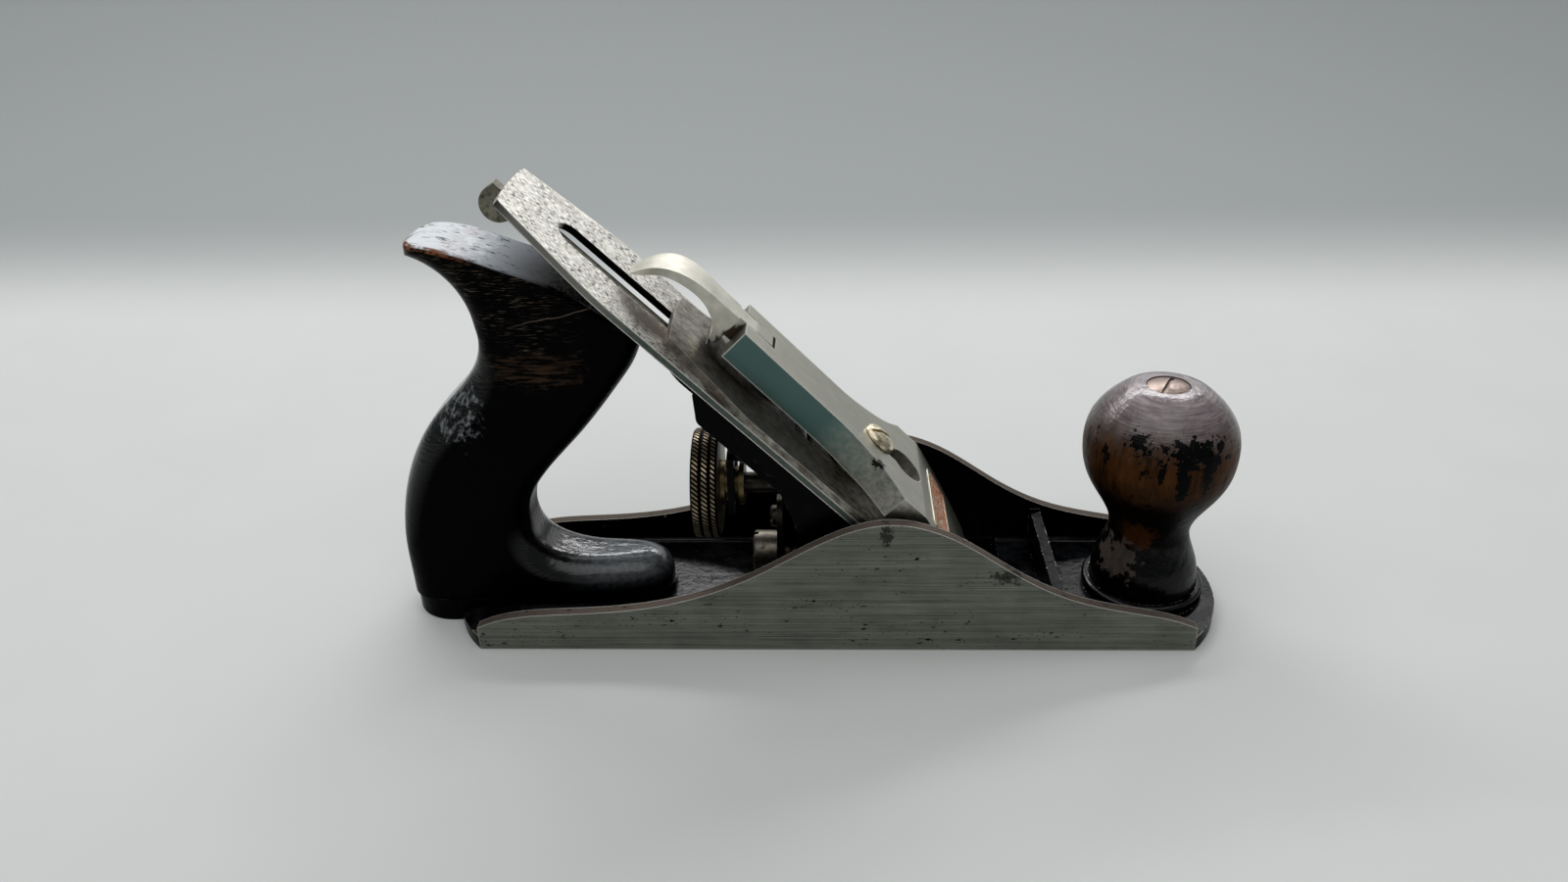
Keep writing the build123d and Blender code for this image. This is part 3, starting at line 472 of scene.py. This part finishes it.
brassWheel = {
    # sizes in mm, and the teeth's lean in radians for each mm: three knurled bands with grooves between them,
    # as the CAD wheel has
    "rear": -40.0, "axisHeight": 40.0, "radius": 16.0, "bore": 3.05, "hub": 8.0, "dish": 1.0, "bevel": 0.3,
    "groove": 0.8, "teeth": 72, "toothDepth": 0.42, "lean": 0.05,
    "toothSteps": (0.0, 0.42, 0.55, 0.87),  # top, top, root, root of one tooth
    "brass": "#655a4b", "worn": "#b5a68d", "grime": "#0a0705", "rough": (0.6, 0.36), "innerShow": 0.6,
    "proud": (-0.25, -0.03), "rim": (-1.2, -0.9),  # mm from the outside
    "cloud": dict(grain=[4.0] * 3),
    "grit": dict(grain=[0.6] * 3, detail=3.0), "bump": 0.15, "relief": 0.1}


def makeWheel():
    look = brassWheel
    bore, hub, dish, r = (look[size] for size in ("bore", "hub", "dish", "radius"))
    worn = r - look["bevel"]
    sunk = r - look["groove"]
    # each ring of the wheel: distance from the rear face, radius and depth of the teeth there
    rings = [(0.0, bore, 0), (0.0, hub, 0), (dish, hub + 1.0, 0), (dish, r - 2.6, 0), (0.0, r - 1.8, 0),
             (0.0, r - 0.6, 0), (0.3, worn, 0.6), (0.6, r, 1), (1.3, r, 1), (2.1, r, 1), (2.4, worn, 0.5),
             (2.4, sunk, 0), (3.0, sunk, 0), (3.0, worn, 0.5), (3.3, r, 1), (4.0, r, 1), (4.7, r, 1),
             (5.0, worn, 0.5), (5.0, sunk, 0), (5.6, sunk, 0), (5.6, worn, 0.5), (5.9, r, 1),
             (6.4, r, 1), (6.9, r, 1), (7.2, worn, 0.6), (7.5, r - 0.6, 0), (7.5, bore, 0)]
    steps = look["toothSteps"]
    count = look["teeth"] * len(steps)
    points, faces = [], []
    for back, radius, depth in rings:
        for i in range(count):
            tooth, part = divmod(i, len(steps))
            turn = 2 * math.pi * (tooth + steps[part]) / look["teeth"] + look["lean"] * back
            reach = radius - (look["toothDepth"] * depth if part >= 2 else 0.0)
            points.append(((look["rear"] + back) * mm, reach * math.cos(turn) * mm,
                           (look["axisHeight"] + reach * math.sin(turn)) * mm))
    for ring in range(len(rings)):
        after = (ring + 1) % len(rings)
        for i in range(count):
            j = (i + 1) % count
            faces.append((ring * count + i, ring * count + j, after * count + j, after * count + i))
    mesh = bpy.data.meshes.new("knurledWheel")
    mesh.from_pydata(points, [], faces)
    mesh.validate()
    wheel = bpy.data.objects.new("knurledWheel", mesh)
    bpy.context.scene.collection.objects.link(wheel)
    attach(wheel, "wheel")
    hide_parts("adjusting_wheel")
    mesh.materials.append(wheelFinish())


def wheelFinish():
    # Brass, turned and knurled, gone brown: worn paler on the tops of the knurl, black in its roots
    material, tree, place = newFinish("Brass turned and knurled, tarnished brown")[:3]
    look = brassWheel
    at = put(tree, "SeparateXYZ", {0: place})
    high = put(tree, "Math", {"operation": "SUBTRACT", 0: at.outputs[2], 1: look["axisHeight"]})
    flatAway = put(tree, "CombineXYZ", {0: at.outputs[1], 1: high})
    away = put(tree, "VectorMath", {"operation": "LENGTH", 0: flatAway})
    fromOutside = put(tree, "Math", {"operation": "SUBTRACT", 0: away, 1: look["radius"]})
    proud = put(tree, "MapRange", {"Value": fromOutside, "From": look["proud"]})
    rim = put(tree, "MapRange", {"Value": fromOutside, "From": look["rim"]})
    inner = put(tree, "Math", {"operation": "SUBTRACT", 0: 1.0, 1: rim})
    innerClean = put(tree, "Math", {"operation": "MULTIPLY", 0: inner, 1: look["innerShow"]})
    clean = put(tree, "Math", {"operation": "MAXIMUM", 0: proud, 1: innerClean})
    cloud = flecks(tree, place, **look["cloud"])
    base = coats(tree, look["brass"], (cloud, look["worn"]))
    colour = coats(tree, look["grime"], (clean, base))
    rough = put(tree, "MapRange", {"Value": clean, "To": look["rough"]})
    grit = flecks(tree, place, **look["grit"])
    bump = put(tree, "Bump", {"Strength": look["bump"], "Distance": look["relief"] * mm, "Height": grit})
    lay(tree, {"Base Color": colour, "Metallic": 1.0, "Roughness": rough, "Normal": bump})
    return material


# the small turned and pressed pieces: grain of the cloud and of the dents in mm
steelScrew = {"bright": "#8f897d", "dull": "#605b53", "grime": "#2a2622", "cloud": 4.0, "dent": 2.2,
              "rough": 0.36, "bump": 0.15}
# painted shade: the small pieces deep in the frog's shadow are coloured nearly black
shadeDarkSteel = {**steelScrew, "bright": "#4b473f", "dull": "#2d2a25", "grime": "#12100d"}
oliveSteel = {"bright": "#8d8a7c", "dull": "#5d5b4e", "grime": "#37352d", "cloud": 5.0, "dent": 1.6,
              "rough": 0.38, "bump": 0.12}
brassCollar = {**steelScrew, "bright": "#8a7a55", "dull": "#5a4d36"}
steelPlate = {"bright": "#c0beb7", "dull": "#8d8a83", "grime": "#4b473f", "cloud": 5.0, "dent": 1.6,
              "rough": 0.34, "bump": 0.12}
nickelScrew = {"bright": "#f0e5cb", "dull": "#d3c6a9", "grime": "#63563f", "cloud": 3.0, "dent": 1.7,
               "rough": 0.26, "bump": 0.4}
nickelNut = {"bright": "#9f8e86", "dull": "#8a7a72", "grime": "#6d5d54", "cloud": 5.0, "dent": 1.4,
             "rough": 0.34, "bump": 0.1}
springSteel = {"bright": "#6a655d", "dull": "#4a463f", "grime": "#2b2722", "cloud": 5.0, "dent": 2.0,
               "rough": 0.38, "bump": 0.1}
smallMetal = {"edge": dict(reach=0.25, cut=(0.97, 0.85)), "dentCut": (0.5, 0.75), "dulled": 0.1,
              "relief": 0.2}  # alike on all of them


def metalFinish(name, look):
    # a plain metal, cloudy with handling, darker in dents where grime has stayed and bright on its edges
    material, tree, place = newFinish(name)[:3]
    cloud = flecks(tree, place, [look["cloud"]] * 3)
    dent = flecks(tree, place, [look["dent"]] * 3, cut=smallMetal["dentCut"], detail=3.0)
    edge = wornEdges(tree, **smallMetal["edge"])
    colour = coats(tree, look["dull"], (cloud, look["bright"]), (dent, look["grime"]), (edge, look["bright"]))
    dullRough = look["rough"] + smallMetal["dulled"]
    rough = put(tree, "MapRange", {"Value": cloud, "To": (dullRough, look["rough"])})
    bump = put(tree, "Bump", {"Strength": look["bump"], "Distance": smallMetal["relief"] * mm,
                              "Height": dent, "invert": True})
    lay(tree, {"Base Color": colour, "Metallic": 1.0, "Roughness": rough, "Normal": bump})
    return material


makeWheel()
dress(metalFinish("Brass turned, oiled brown", brassCollar), "adjusting_collar", "adjusting_wheel")
dress(metalFinish("Mild steel turned, dulled by handling", steelScrew), "frog_screws", "frog_washers",
      "frog_adjusting_screw", "cap_iron_screw", "knob_bolt", "tote_bolt")
# painted shade on the pieces in the frog's shadow
dress(metalFinish("Mild steel painted dark as shade", shadeDarkSteel), "frog_plate_screw", "frog_adjusting_plate",
      "adjusting_stud", "y_lever_pin")
dress(metalFinish("Mild steel pressed, gone olive", oliveSteel), "lateral_lever")
dress(metalFinish("Mild steel pressed and polished", steelPlate), "lateral_disc", "lateral_pivot", "cam_pin",
      "spring_rivet")
dress(metalFinish("Nickel plate on a turned brass screw, dented", nickelScrew), "lever_cap_screw")
dress(metalFinish("Nickel plate on turned brass, rubbed pink", nickelNut), "knob_nut", "tote_nut")
dress(metalFinish("Spring steel rolled and blued dark", springSteel), "lever_cap_spring")
print("small metal finished")

knobWood = {
    # the crown's top colours are rubbed lacquer with a painted sheen; tan also serves as painted shade at the
    # crown's lower edge
    "wood": "#543214", "woodDark": "#120803", "top": "#aa9da0", "topDark": "#5f5356", "tan": "#3f3029",
    "lacquer": "#020202", "neck": "#050201", "warm": "#40230d", "bareGrey": "#544b45", "ior": 1.5,
    "gloss": 0.04, "filmRough": 0.16, "rough": (0.3, 0.44),
    "grain": dict(grain=[1.1, 1.1, 13.0]), "grainShow": 0.5,
    "rings": dict(grain=[7.0, 7.0, 16.0], cut=(0.35, 0.65), detail=3.0), "ringShow": 0.5, "ringTan": 0.35,
    # turning scratches are nearer 0.1 mm across, and are drawn coarser to show
    "swirl": dict(grain=[6.0, 6.0, 0.45]),
    # heights in mm where one surface gives way to the next; the wandering ones are raised by a cloud
    "wander": 4.545, "wanderRise": 14.0, "crown": (64.5, 68.5), "waist": (58.0, 47.0), "foot": (32.0, 28.0),
    "lustre": (57.0, 67.0), "shoulderShade": (69.0, 60.0), "beltTop": (63.0, 60.0), "beltLow": (38.0, 43.0),
    "shoulderShadeShow": (0.0, 0.85),
    "flake": dict(grain=[3.6, 3.6, 6.5], cut=(0.6, 0.62), detail=6.0),
    # black film left on the near side: a torn band under the crown with two runs down from it, and an island
    "tornBand": dict(centre=[97.0, -17.0, 59.0], reach=[8.5, 9.0, 3.4], ragged=2.4, tear=2.857),
    "runLeft": dict(centre=[94.0, -20.0, 51.5], reach=[1.8, 6.0, 6.5], ragged=1.6, tear=2.0),
    "runRight": dict(centre=[100.8, -19.0, 53.0], reach=[1.7, 6.0, 5.5], ragged=1.6, tear=2.0),
    "island": dict(centre=[82.6, -16.5, 61.0], reach=[2.6, 5.0, 2.6], ragged=2.4, tear=2.0),
    # bare spots on the neck and foot, where the grain shows through
    "warmSpot": dict(centre=[86.0, -11.0, 28.2], reach=[5.2, 6.0, 4.6], ragged=1.4, tear=2.857, soft=0.2),
    "greySpot": dict(centre=[80.4, -9.0, 18.6], reach=[6.8, 8.0, 5.6], ragged=1.7, tear=3.333, soft=0.05),
    "warmShow": 0.5, "greyShow": 0.7,
    # film gloss: on the upper side of the crown, dull on the flakes, and some on the foot
    "topSide": (0.1, 0.55), "lustreFilm": (0.06, 1.0), "flakeFilm": (1.0, 0.15), "footFilm": 0.3,
    "dent": dict(grain=[2.6] * 3, detail=3.0), "dentRise": 0.9, "swirlRise": 0.6, "filmRise": 0.8,
    "bump": 0.45, "relief": 0.25}


def knobFinish():
    # Beech, turned, stained and lacquered black: brown wood with vertical grain where the lacquer has flaked,
    # a pale mauve-grey on the rubbed crown, partly rubbed lacquer and partly painted sheen, with fine
    # scratches and painted shade darkening it towards its lower edge, ragged black flakes round the middle
    material, tree, place, facing = newFinish("Beech turned and stained, black lacquer flaking")
    look = knobWood
    at = put(tree, "SeparateXYZ", {0: place})
    turn = put(tree, "SeparateXYZ", {0: facing})
    grain = flecks(tree, place, **look["grain"])
    ring = flecks(tree, place, **look["rings"])
    ringed = put(tree, "Math", {"operation": "MULTIPLY", 0: ring, 1: look["ringShow"]})
    figured = put(tree, "Math", {"operation": "MULTIPLY_ADD", 0: grain, 1: look["grainShow"], 2: ringed})
    wander = put(tree, "TexNoise", {"Vector": place, "Scale": 1.0 / look["wander"], "Detail": 5.0,
                                    "Roughness": 0.6})
    height = put(tree, "Math", {"operation": "MULTIPLY_ADD", 0: wander, 1: look["wanderRise"],
                                2: at.outputs[2]})
    crown = put(tree, "MapRange", {"Value": height, "From": look["crown"]})
    swirl = flecks(tree, place, **look["swirl"])
    # painted shade: the crown's colour turns to tan towards its lower edge
    shoulderShade = put(tree, "MapRange", {"Value": at.outputs[2], "From": look["shoulderShade"],
                                      "To": look["shoulderShadeShow"]})
    tanAndShade = put(tree, "Math", {"operation": "MULTIPLY_ADD", 0: ring, 1: look["ringTan"], 2: shoulderShade,
                                "use_clamp": True})
    rubbed = coats(tree, look["topDark"], (swirl, look["top"]), (tanAndShade, look["tan"]))
    waist = put(tree, "MapRange", {"Value": height, "From": look["waist"]})
    warmSpot = patch(tree, place, **look["warmSpot"])
    warmIn = put(tree, "Math", {"operation": "MULTIPLY_ADD", 0: grain, 1: look["warmShow"],
                                2: 1.0 - look["warmShow"]})
    warmth = put(tree, "Math", {"operation": "MULTIPLY", 0: warmSpot, 1: warmIn})
    flake = flecks(tree, place, **look["flake"])
    beltTop = put(tree, "MapRange", {"Value": at.outputs[2], "From": look["beltTop"]})
    beltLow = put(tree, "MapRange", {"Value": at.outputs[2], "From": look["beltLow"]})
    belt = put(tree, "Math", {"operation": "MULTIPLY", 0: beltTop, 1: beltLow})
    flaked = put(tree, "Math", {"operation": "MULTIPLY", 0: flake, 1: belt})
    for spot in ("tornBand", "runLeft", "runRight", "island"):
        flaked = put(tree, "Math", {"operation": "MAXIMUM", 0: flaked, 1: patch(tree, place, **look[spot])})
    foot = put(tree, "MapRange", {"Value": height, "From": look["foot"]})
    black = put(tree, "Math", {"operation": "MAXIMUM", 0: flaked, 1: foot})
    greySpot = patch(tree, place, **look["greySpot"])
    greyIn = put(tree, "Math", {"operation": "MULTIPLY_ADD", 0: figured, 1: look["greyShow"],
                                2: 1.0 - look["greyShow"]})
    greyed = put(tree, "Math", {"operation": "MULTIPLY", 0: greySpot, 1: greyIn})
    colour = coats(tree, look["woodDark"], (figured, look["wood"]), (crown, rubbed), (waist, look["neck"]),
                   (warmth, look["warm"]), (black, look["lacquer"]), (greyed, look["bareGrey"]))
    rough = put(tree, "MapRange", {"Value": swirl, "To": look["rough"]})
    swirled = put(tree, "Math", {"operation": "MULTIPLY", 0: swirl, 1: look["swirlRise"]})
    lined = put(tree, "Math", {"operation": "MULTIPLY", 0: swirled, 1: crown})
    film = put(tree, "Math", {"operation": "MULTIPLY_ADD", 0: black, 1: look["filmRise"], 2: lined})
    dent = flecks(tree, place, **look["dent"])
    relief = put(tree, "Math", {"operation": "MULTIPLY_ADD", 0: dent, 1: look["dentRise"], 2: film})
    bump = put(tree, "Bump", {"Strength": look["bump"], "Distance": look["relief"] * mm, "Height": relief})
    lustre = put(tree, "MapRange", {"Value": height, "From": look["lustre"], "To": look["lustreFilm"]})
    dulled = put(tree, "MapRange", {"Value": flaked, "To": look["flakeFilm"]})
    topSide = put(tree, "MapRange", {"Value": turn.outputs[2], "From": look["topSide"]})
    polished = put(tree, "Math", {"operation": "MULTIPLY", 0: lustre, 1: topSide})
    crownFilm = put(tree, "Math", {"operation": "MULTIPLY", 0: polished, 1: dulled})
    shine = put(tree, "Math", {"operation": "MULTIPLY_ADD", 0: foot, 1: look["footFilm"], 2: crownFilm,
                               "use_clamp": True})
    lay(tree, {"Base Color": colour, "Roughness": rough, "Normal": bump, "IOR": look["ior"],
               "Specular IOR Level": look["gloss"], "Coat Weight": shine, "Coat Roughness": look["filmRough"],
               "Coat Normal": bump})
    return material


toteWood = {
    # the toe's haze, the crest's grey and the horn's pale are rubbed lacquer with a painted sheen on the
    # upward faces
    "lacquer": "#020203", "hazeAndSheen": "#62676b", "streak": "#665b4c", "crest": "#b0b5bc", "hornRubAndSheen": "#e4e8ec",
    "chip": "#7d5038", "bareWood": "#3a2a20", "scuff": "#84898c", "crack": "#5c5145", "ior": 1.5,
    "gloss": 0.02, "filmRough": 0.13, "rough": (0.25, 0.6),
    # thin film over the grain by the hand; the pores are nearer 0.2 mm, and are drawn coarser to show
    "pores": dict(grain=[4.0, 3.0, 0.4], cut=(0.55, 0.72)),
    "cluster": dict(grain=[9.0, 9.0, 5.0], cut=(0.4, 0.6), detail=3.0),
    "thinHigh": (72.0, 88.0), "thinRear": (-64.0, -78.0),
    # brown patch under the hand, and the scuff on the back
    "brownSpot": dict(centre=[-79.0, -12.0, 82.0], reach=[12.0, 9.0, 4.4], ragged=0.9, tear=4.0, soft=0.25),
    "brownIn": dict(grain=[9.0, 4.0, 0.9], cut=(0.47, 0.6)),
    "scuffSpot": dict(centre=[-103.5, -9.0, 68.5], reach=[6.0, 9.0, 9.0], ragged=1.4, tear=3.333, soft=0.2),
    "scuffIn": dict(grain=[1.5, 1.5, 2.1], cut=(0.47, 0.66), detail=6.0),
    # a drying crack runs forward and up from x -85, z 95: its slope, wobble, height at x 0 and half width
    "crackSlope": 0.21, "wobble": 8.333, "wobbleRise": 3.0, "crackHeight": 114.1, "crackHalf": (0.26, 0.08),
    "crackSpan": (-86.0, -76.0),
    # haze with painted sheen on the toe's upper faces: mm up, mm along, and how far the face looks up
    "toeTop": (44.0, 32.0), "toeLow": (9.0, 17.0), "toeAt": (-80.0, -68.0), "toeUp": (-0.35, 0.5),
    "mottle": dict(grain=[1.5] * 3, cut=(0.2, 0.6), detail=5.0),
    # the rubbed crest with its scratches and a painted sheen, paler at the horn
    "crestUp": (0.6, 0.8), "crestAt": (-73.0, -92.0), "crestHigh": (90.0, 96.0),
    "hornSpot": dict(centre=[-104.0, 0.0, 115.5], reach=[13.0, 14.0, 6.0], ragged=0.8, tear=4.0, soft=0.3),
    "scratch": dict(grain=[7.0, 1.1, 1.1], cut=(0.58, 0.66), detail=5.0),
    # chips round the horn's edge and on its tip
    "lipStart": (0.05, 0.25), "lipEnd": (0.985, 0.92), "hornAt": (-92.0, -102.0), "hornHigh": (108.0, 111.0),
    "chipped": dict(grain=[2.4] * 3, cut=(0.4, 0.52), detail=6.0),
    "tip": dict(centre=[-117.5, -5.0, 113.5], reach=[6.0, 9.0, 6.0], ragged=1.8, tear=2.5),
    # gloss on upper faces below the crest
    "filmUp": (0.03, 0.4), "film": (0.0, 0.9), "filmHigh": (96.0, 86.0),
    "grainRise": dict(grain=[6.0, 3.0, 0.8], detail=3.0),
    "dent": dict(grain=[2.2] * 3), "dentRise": 0.8, "bump": 0.25, "relief": 0.2}


def toteFinish():
    # Beech, shaped and lacquered black: wet-looking black low down, hazed grey with painted sheen on the toe,
    # thin over the grain by the hand, rubbed grey with painted sheen along the crest, palest at the horn,
    # chipped to brown wood at the horn, scuffed on the back
    material, tree, place, facing = newFinish("Beech shaped, black lacquer rubbed and chipped")
    look = toteWood
    at = put(tree, "SeparateXYZ", {0: place})
    turn = put(tree, "SeparateXYZ", {0: facing})
    along, high, up = at.outputs[0], at.outputs[2], turn.outputs[2]
    limits = {}
    for name, way in (("thinHigh", high), ("thinRear", along), ("crackSpan", along), ("toeTop", high),
                      ("toeLow", high), ("toeAt", along), ("toeUp", up), ("crestUp", up), ("crestAt", along),
                      ("crestHigh", high), ("lipStart", up), ("lipEnd", up), ("hornAt", along),
                      ("hornHigh", high), ("filmHigh", high)):
        limits[name] = put(tree, "MapRange", {"Value": way, "From": look[name]})
    # the crack's line
    wobble = put(tree, "TexNoise", {"Vector": place, "Scale": 1.0 / look["wobble"], "Detail": 5.0})
    rise = put(tree, "Math", {"operation": "MULTIPLY_ADD", 0: along, 1: -look["crackSlope"], 2: high})
    drift = put(tree, "Math", {"operation": "MULTIPLY_ADD", 0: wobble, 1: look["wobbleRise"], 2: rise})
    off = put(tree, "Math", {"operation": "SUBTRACT", 0: drift, 1: look["crackHeight"]})
    offSize = put(tree, "Math", {"operation": "ABSOLUTE", 0: off})
    onLine = put(tree, "MapRange", {"Value": offSize, "From": look["crackHalf"]})
    # each mark is where all of its limits and patterns meet
    marks = {"streak": [flecks(tree, place, **look["pores"]), flecks(tree, place, **look["cluster"]),
                        limits["thinHigh"], limits["thinRear"]],
             "bareWood": [patch(tree, place, **look["brownSpot"]), flecks(tree, place, **look["brownIn"])],
             "scuff": [patch(tree, place, **look["scuffSpot"]), flecks(tree, place, **look["scuffIn"])],
             "crack": [onLine, limits["crackSpan"]],
             "hazeAndSheen": [flecks(tree, place, **look["mottle"]), limits["toeTop"], limits["toeLow"],
                      limits["toeAt"], limits["toeUp"]],
             "crest": [limits["crestUp"], limits["crestAt"], limits["crestHigh"]],
             "hornRubAndSheen": [patch(tree, place, **look["hornSpot"]), limits["crestUp"]],
             "chip": [flecks(tree, place, **look["chipped"]), limits["lipStart"], limits["lipEnd"],
                      limits["hornAt"], limits["hornHigh"]]}
    where = {}
    for name, parts in marks.items():
        where[name] = parts[0]
        for part in parts[1:]:
            where[name] = put(tree, "Math", {"operation": "MULTIPLY", 0: where[name], 1: part})
    scratch = flecks(tree, place, **look["scratch"])
    scratched = put(tree, "Math", {"operation": "MULTIPLY", 0: scratch, 1: where["crest"]})
    tip = patch(tree, place, **look["tip"])
    chips = put(tree, "Math", {"operation": "MAXIMUM", 0: where["chip"], 1: tip})
    under = ("streak", "bareWood", "scuff", "crack", "hazeAndSheen", "crest", "hornRubAndSheen")
    colour = coats(tree, look["lacquer"], *((where[mark], look[mark]) for mark in under),
                   (scratched, look["lacquer"]), (chips, look["chip"]))
    matt = put(tree, "Math", {"operation": "MAXIMUM", 0: where["bareWood"], 1: where["scuff"]})
    rough = put(tree, "MapRange", {"Value": matt, "To": look["rough"]})
    grainRise = flecks(tree, place, **look["grainRise"])
    dent = flecks(tree, place, **look["dent"])
    relief = put(tree, "Math", {"operation": "MULTIPLY_ADD", 0: dent, 1: look["dentRise"], 2: grainRise})
    bump = put(tree, "Bump", {"Strength": look["bump"], "Distance": look["relief"] * mm, "Height": relief})
    film = put(tree, "MapRange", {"Value": up, "From": look["filmUp"], "To": look["film"]})
    shine = put(tree, "Math", {"operation": "MULTIPLY", 0: film, 1: limits["filmHigh"]})
    lay(tree, {"Base Color": colour, "Roughness": rough, "Normal": bump, "IOR": look["ior"],
               "Specular IOR Level": look["gloss"], "Coat Weight": shine, "Coat Roughness": look["filmRough"],
               "Coat Normal": bump})
    return material


dress(knobFinish(), "front_knob")
dress(toteFinish(), "rear_tote")
print("wood finished")

studio = {
    "floor": "#d5d7d5", "floorDark": "#d1d3d1", "backdropShade": "#989c9c", "backTopShade": "#777b7c", "matt": 0.7,
    # metres, and the bend in degrees: the paper lies a hair below the sole, runs flat and bends up behind
    "paperHeight": -0.0002, "paperFront": -1.6, "paperHalf": 2.6, "sweepStart": 0.27, "sweepRadius": 0.5,
    "sweepTurn": 52, "sweepSteps": 24,
    # mm back where the painted shade of grey begins and ends, and where it darkens further to the tone of the
    # fill
    "backFade": (220.0, 370.0), "topFade": (570.0, 660.0),
    "paperCloud": dict(grain=[60.0] * 3, cut=(0.2, 0.8), detail=2.0),
    # light from all round, and soft lamps turned to one spot, in metres and watts
    "fill": 0.2, "fillColour": "#e9eef0", "aim": (0, 0.05, 0),
    "overhead": {"at": (-0.1, -0.2, 1.5), "size": (2.2, 2.2), "power": 17.5},
    "rear": {"at": (-0.2, 1.2, 1.05), "size": (2.2, 0.18), "power": 14.5},
    "low": {"at": (0.6, 1.35, 0.5), "size": (1.6, 0.5), "power": 2.6}}


def makeSweep():
    look = studio
    start, radius, steps = (look[k] for k in ("sweepStart", "sweepRadius", "sweepSteps"))
    profile = [(look["paperFront"], look["paperHeight"]), (start, look["paperHeight"])]
    for i in range(1, steps + 1):
        turn = math.radians(look["sweepTurn"]) * i / steps
        profile.append((start + radius * math.sin(turn), radius * (1 - math.cos(turn))))
    points = [(x, y, z) for y, z in profile for x in (-look["paperHalf"], look["paperHalf"])]
    faces = [(2 * i, 2 * i + 1, 2 * i + 3, 2 * i + 2) for i in range(len(profile) - 1)]
    mesh = bpy.data.meshes.new("paperSweep")
    mesh.from_pydata(points, [], faces)
    for face in mesh.polygons:
        face.use_smooth = True
    sweep = bpy.data.objects.new("paperSweep", mesh)
    bpy.context.scene.collection.objects.link(sweep)
    # Matt paper: even and without shine, pale underfoot, with painted shade darkening it up the back
    material, tree, place = newFinish("Matt paper sweep, painted shade at the back")[:3]
    at = put(tree, "SeparateXYZ", {0: place})
    cloud = flecks(tree, place, **look["paperCloud"])
    # painted shade: grey up the back, darker again towards the top
    back = put(tree, "MapRange", {"Value": at.outputs[1], "From": look["backFade"],
                                  "interpolation_type": "SMOOTHSTEP"})
    top = put(tree, "MapRange", {"Value": at.outputs[1], "From": look["topFade"]})
    colour = coats(tree, look["floorDark"], (cloud, look["floor"]), (back, look["backdropShade"]),
                   (top, look["backTopShade"]))
    lay(tree, {"Base Color": colour, "Roughness": look["matt"]})
    mesh.materials.append(material)


def makeLight():
    look = studio
    for name in ("overhead", "rear", "low"):
        lamp = bpy.data.lights.new(name + "Softbox", "AREA")
        lamp.shape = "RECTANGLE"
        lamp.size, lamp.size_y = look[name]["size"]
        lamp.energy = look[name]["power"]
        box = bpy.data.objects.new(name + "Softbox", lamp)
        bpy.context.scene.collection.objects.link(box)
        box.location = look[name]["at"]
        box.rotation_mode = "QUATERNION"
        box.rotation_quaternion = (Vector(look["aim"]) - box.location).to_track_quat("-Z", "Y")
    world = bpy.data.worlds.new("studioFill")
    bpy.context.scene.world = world
    world.use_nodes = True
    world.node_tree.nodes["Background"].inputs["Color"].default_value = linear(look["fillColour"])
    world.node_tree.nodes["Background"].inputs["Strength"].default_value = look["fill"]


# metres, degrees, the lens in pixels of the photo's width, and the sensor in mm
photoView = {"at": (-0.0003, -0.2974, 0.2132), "yaw": -2.6, "down": 28.2, "roll": -1.5, "focal": 1202.0,
             "width": 1600.0, "sensor": 36.0, "nearest": 0.01}


def makeCamera():
    look = photoView
    yaw, down, roll = (math.radians(look[k]) for k in ("yaw", "down", "roll"))
    ahead = Vector((math.sin(yaw), math.cos(yaw), 0))
    right = Vector((math.cos(yaw), -math.sin(yaw), 0))
    up = math.sin(down) * ahead + math.cos(down) * Vector((0, 0, 1))
    sight = math.cos(down) * ahead - math.sin(down) * Vector((0, 0, 1))
    rightRolled = math.cos(roll) * right + math.sin(roll) * up
    upRolled = -math.sin(roll) * right + math.cos(roll) * up
    camera = bpy.data.cameras.new("photoCamera")
    camera.sensor_width = look["sensor"]
    camera.lens = look["focal"] / look["width"] * look["sensor"]
    camera.clip_start = look["nearest"]
    holder = bpy.data.objects.new("photoCamera", camera)
    bpy.context.scene.collection.objects.link(holder)
    turned = Matrix((rightRolled, upRolled, -sight)).transposed()
    holder.matrix_world = Matrix.Translation(look["at"]) @ turned.to_4x4()
    bpy.context.scene.camera = holder


makeSweep()
makeLight()
makeCamera()
bpy.context.scene.view_settings.view_transform = "Standard"
print("studio set")

bpy.context.view_layer.update()
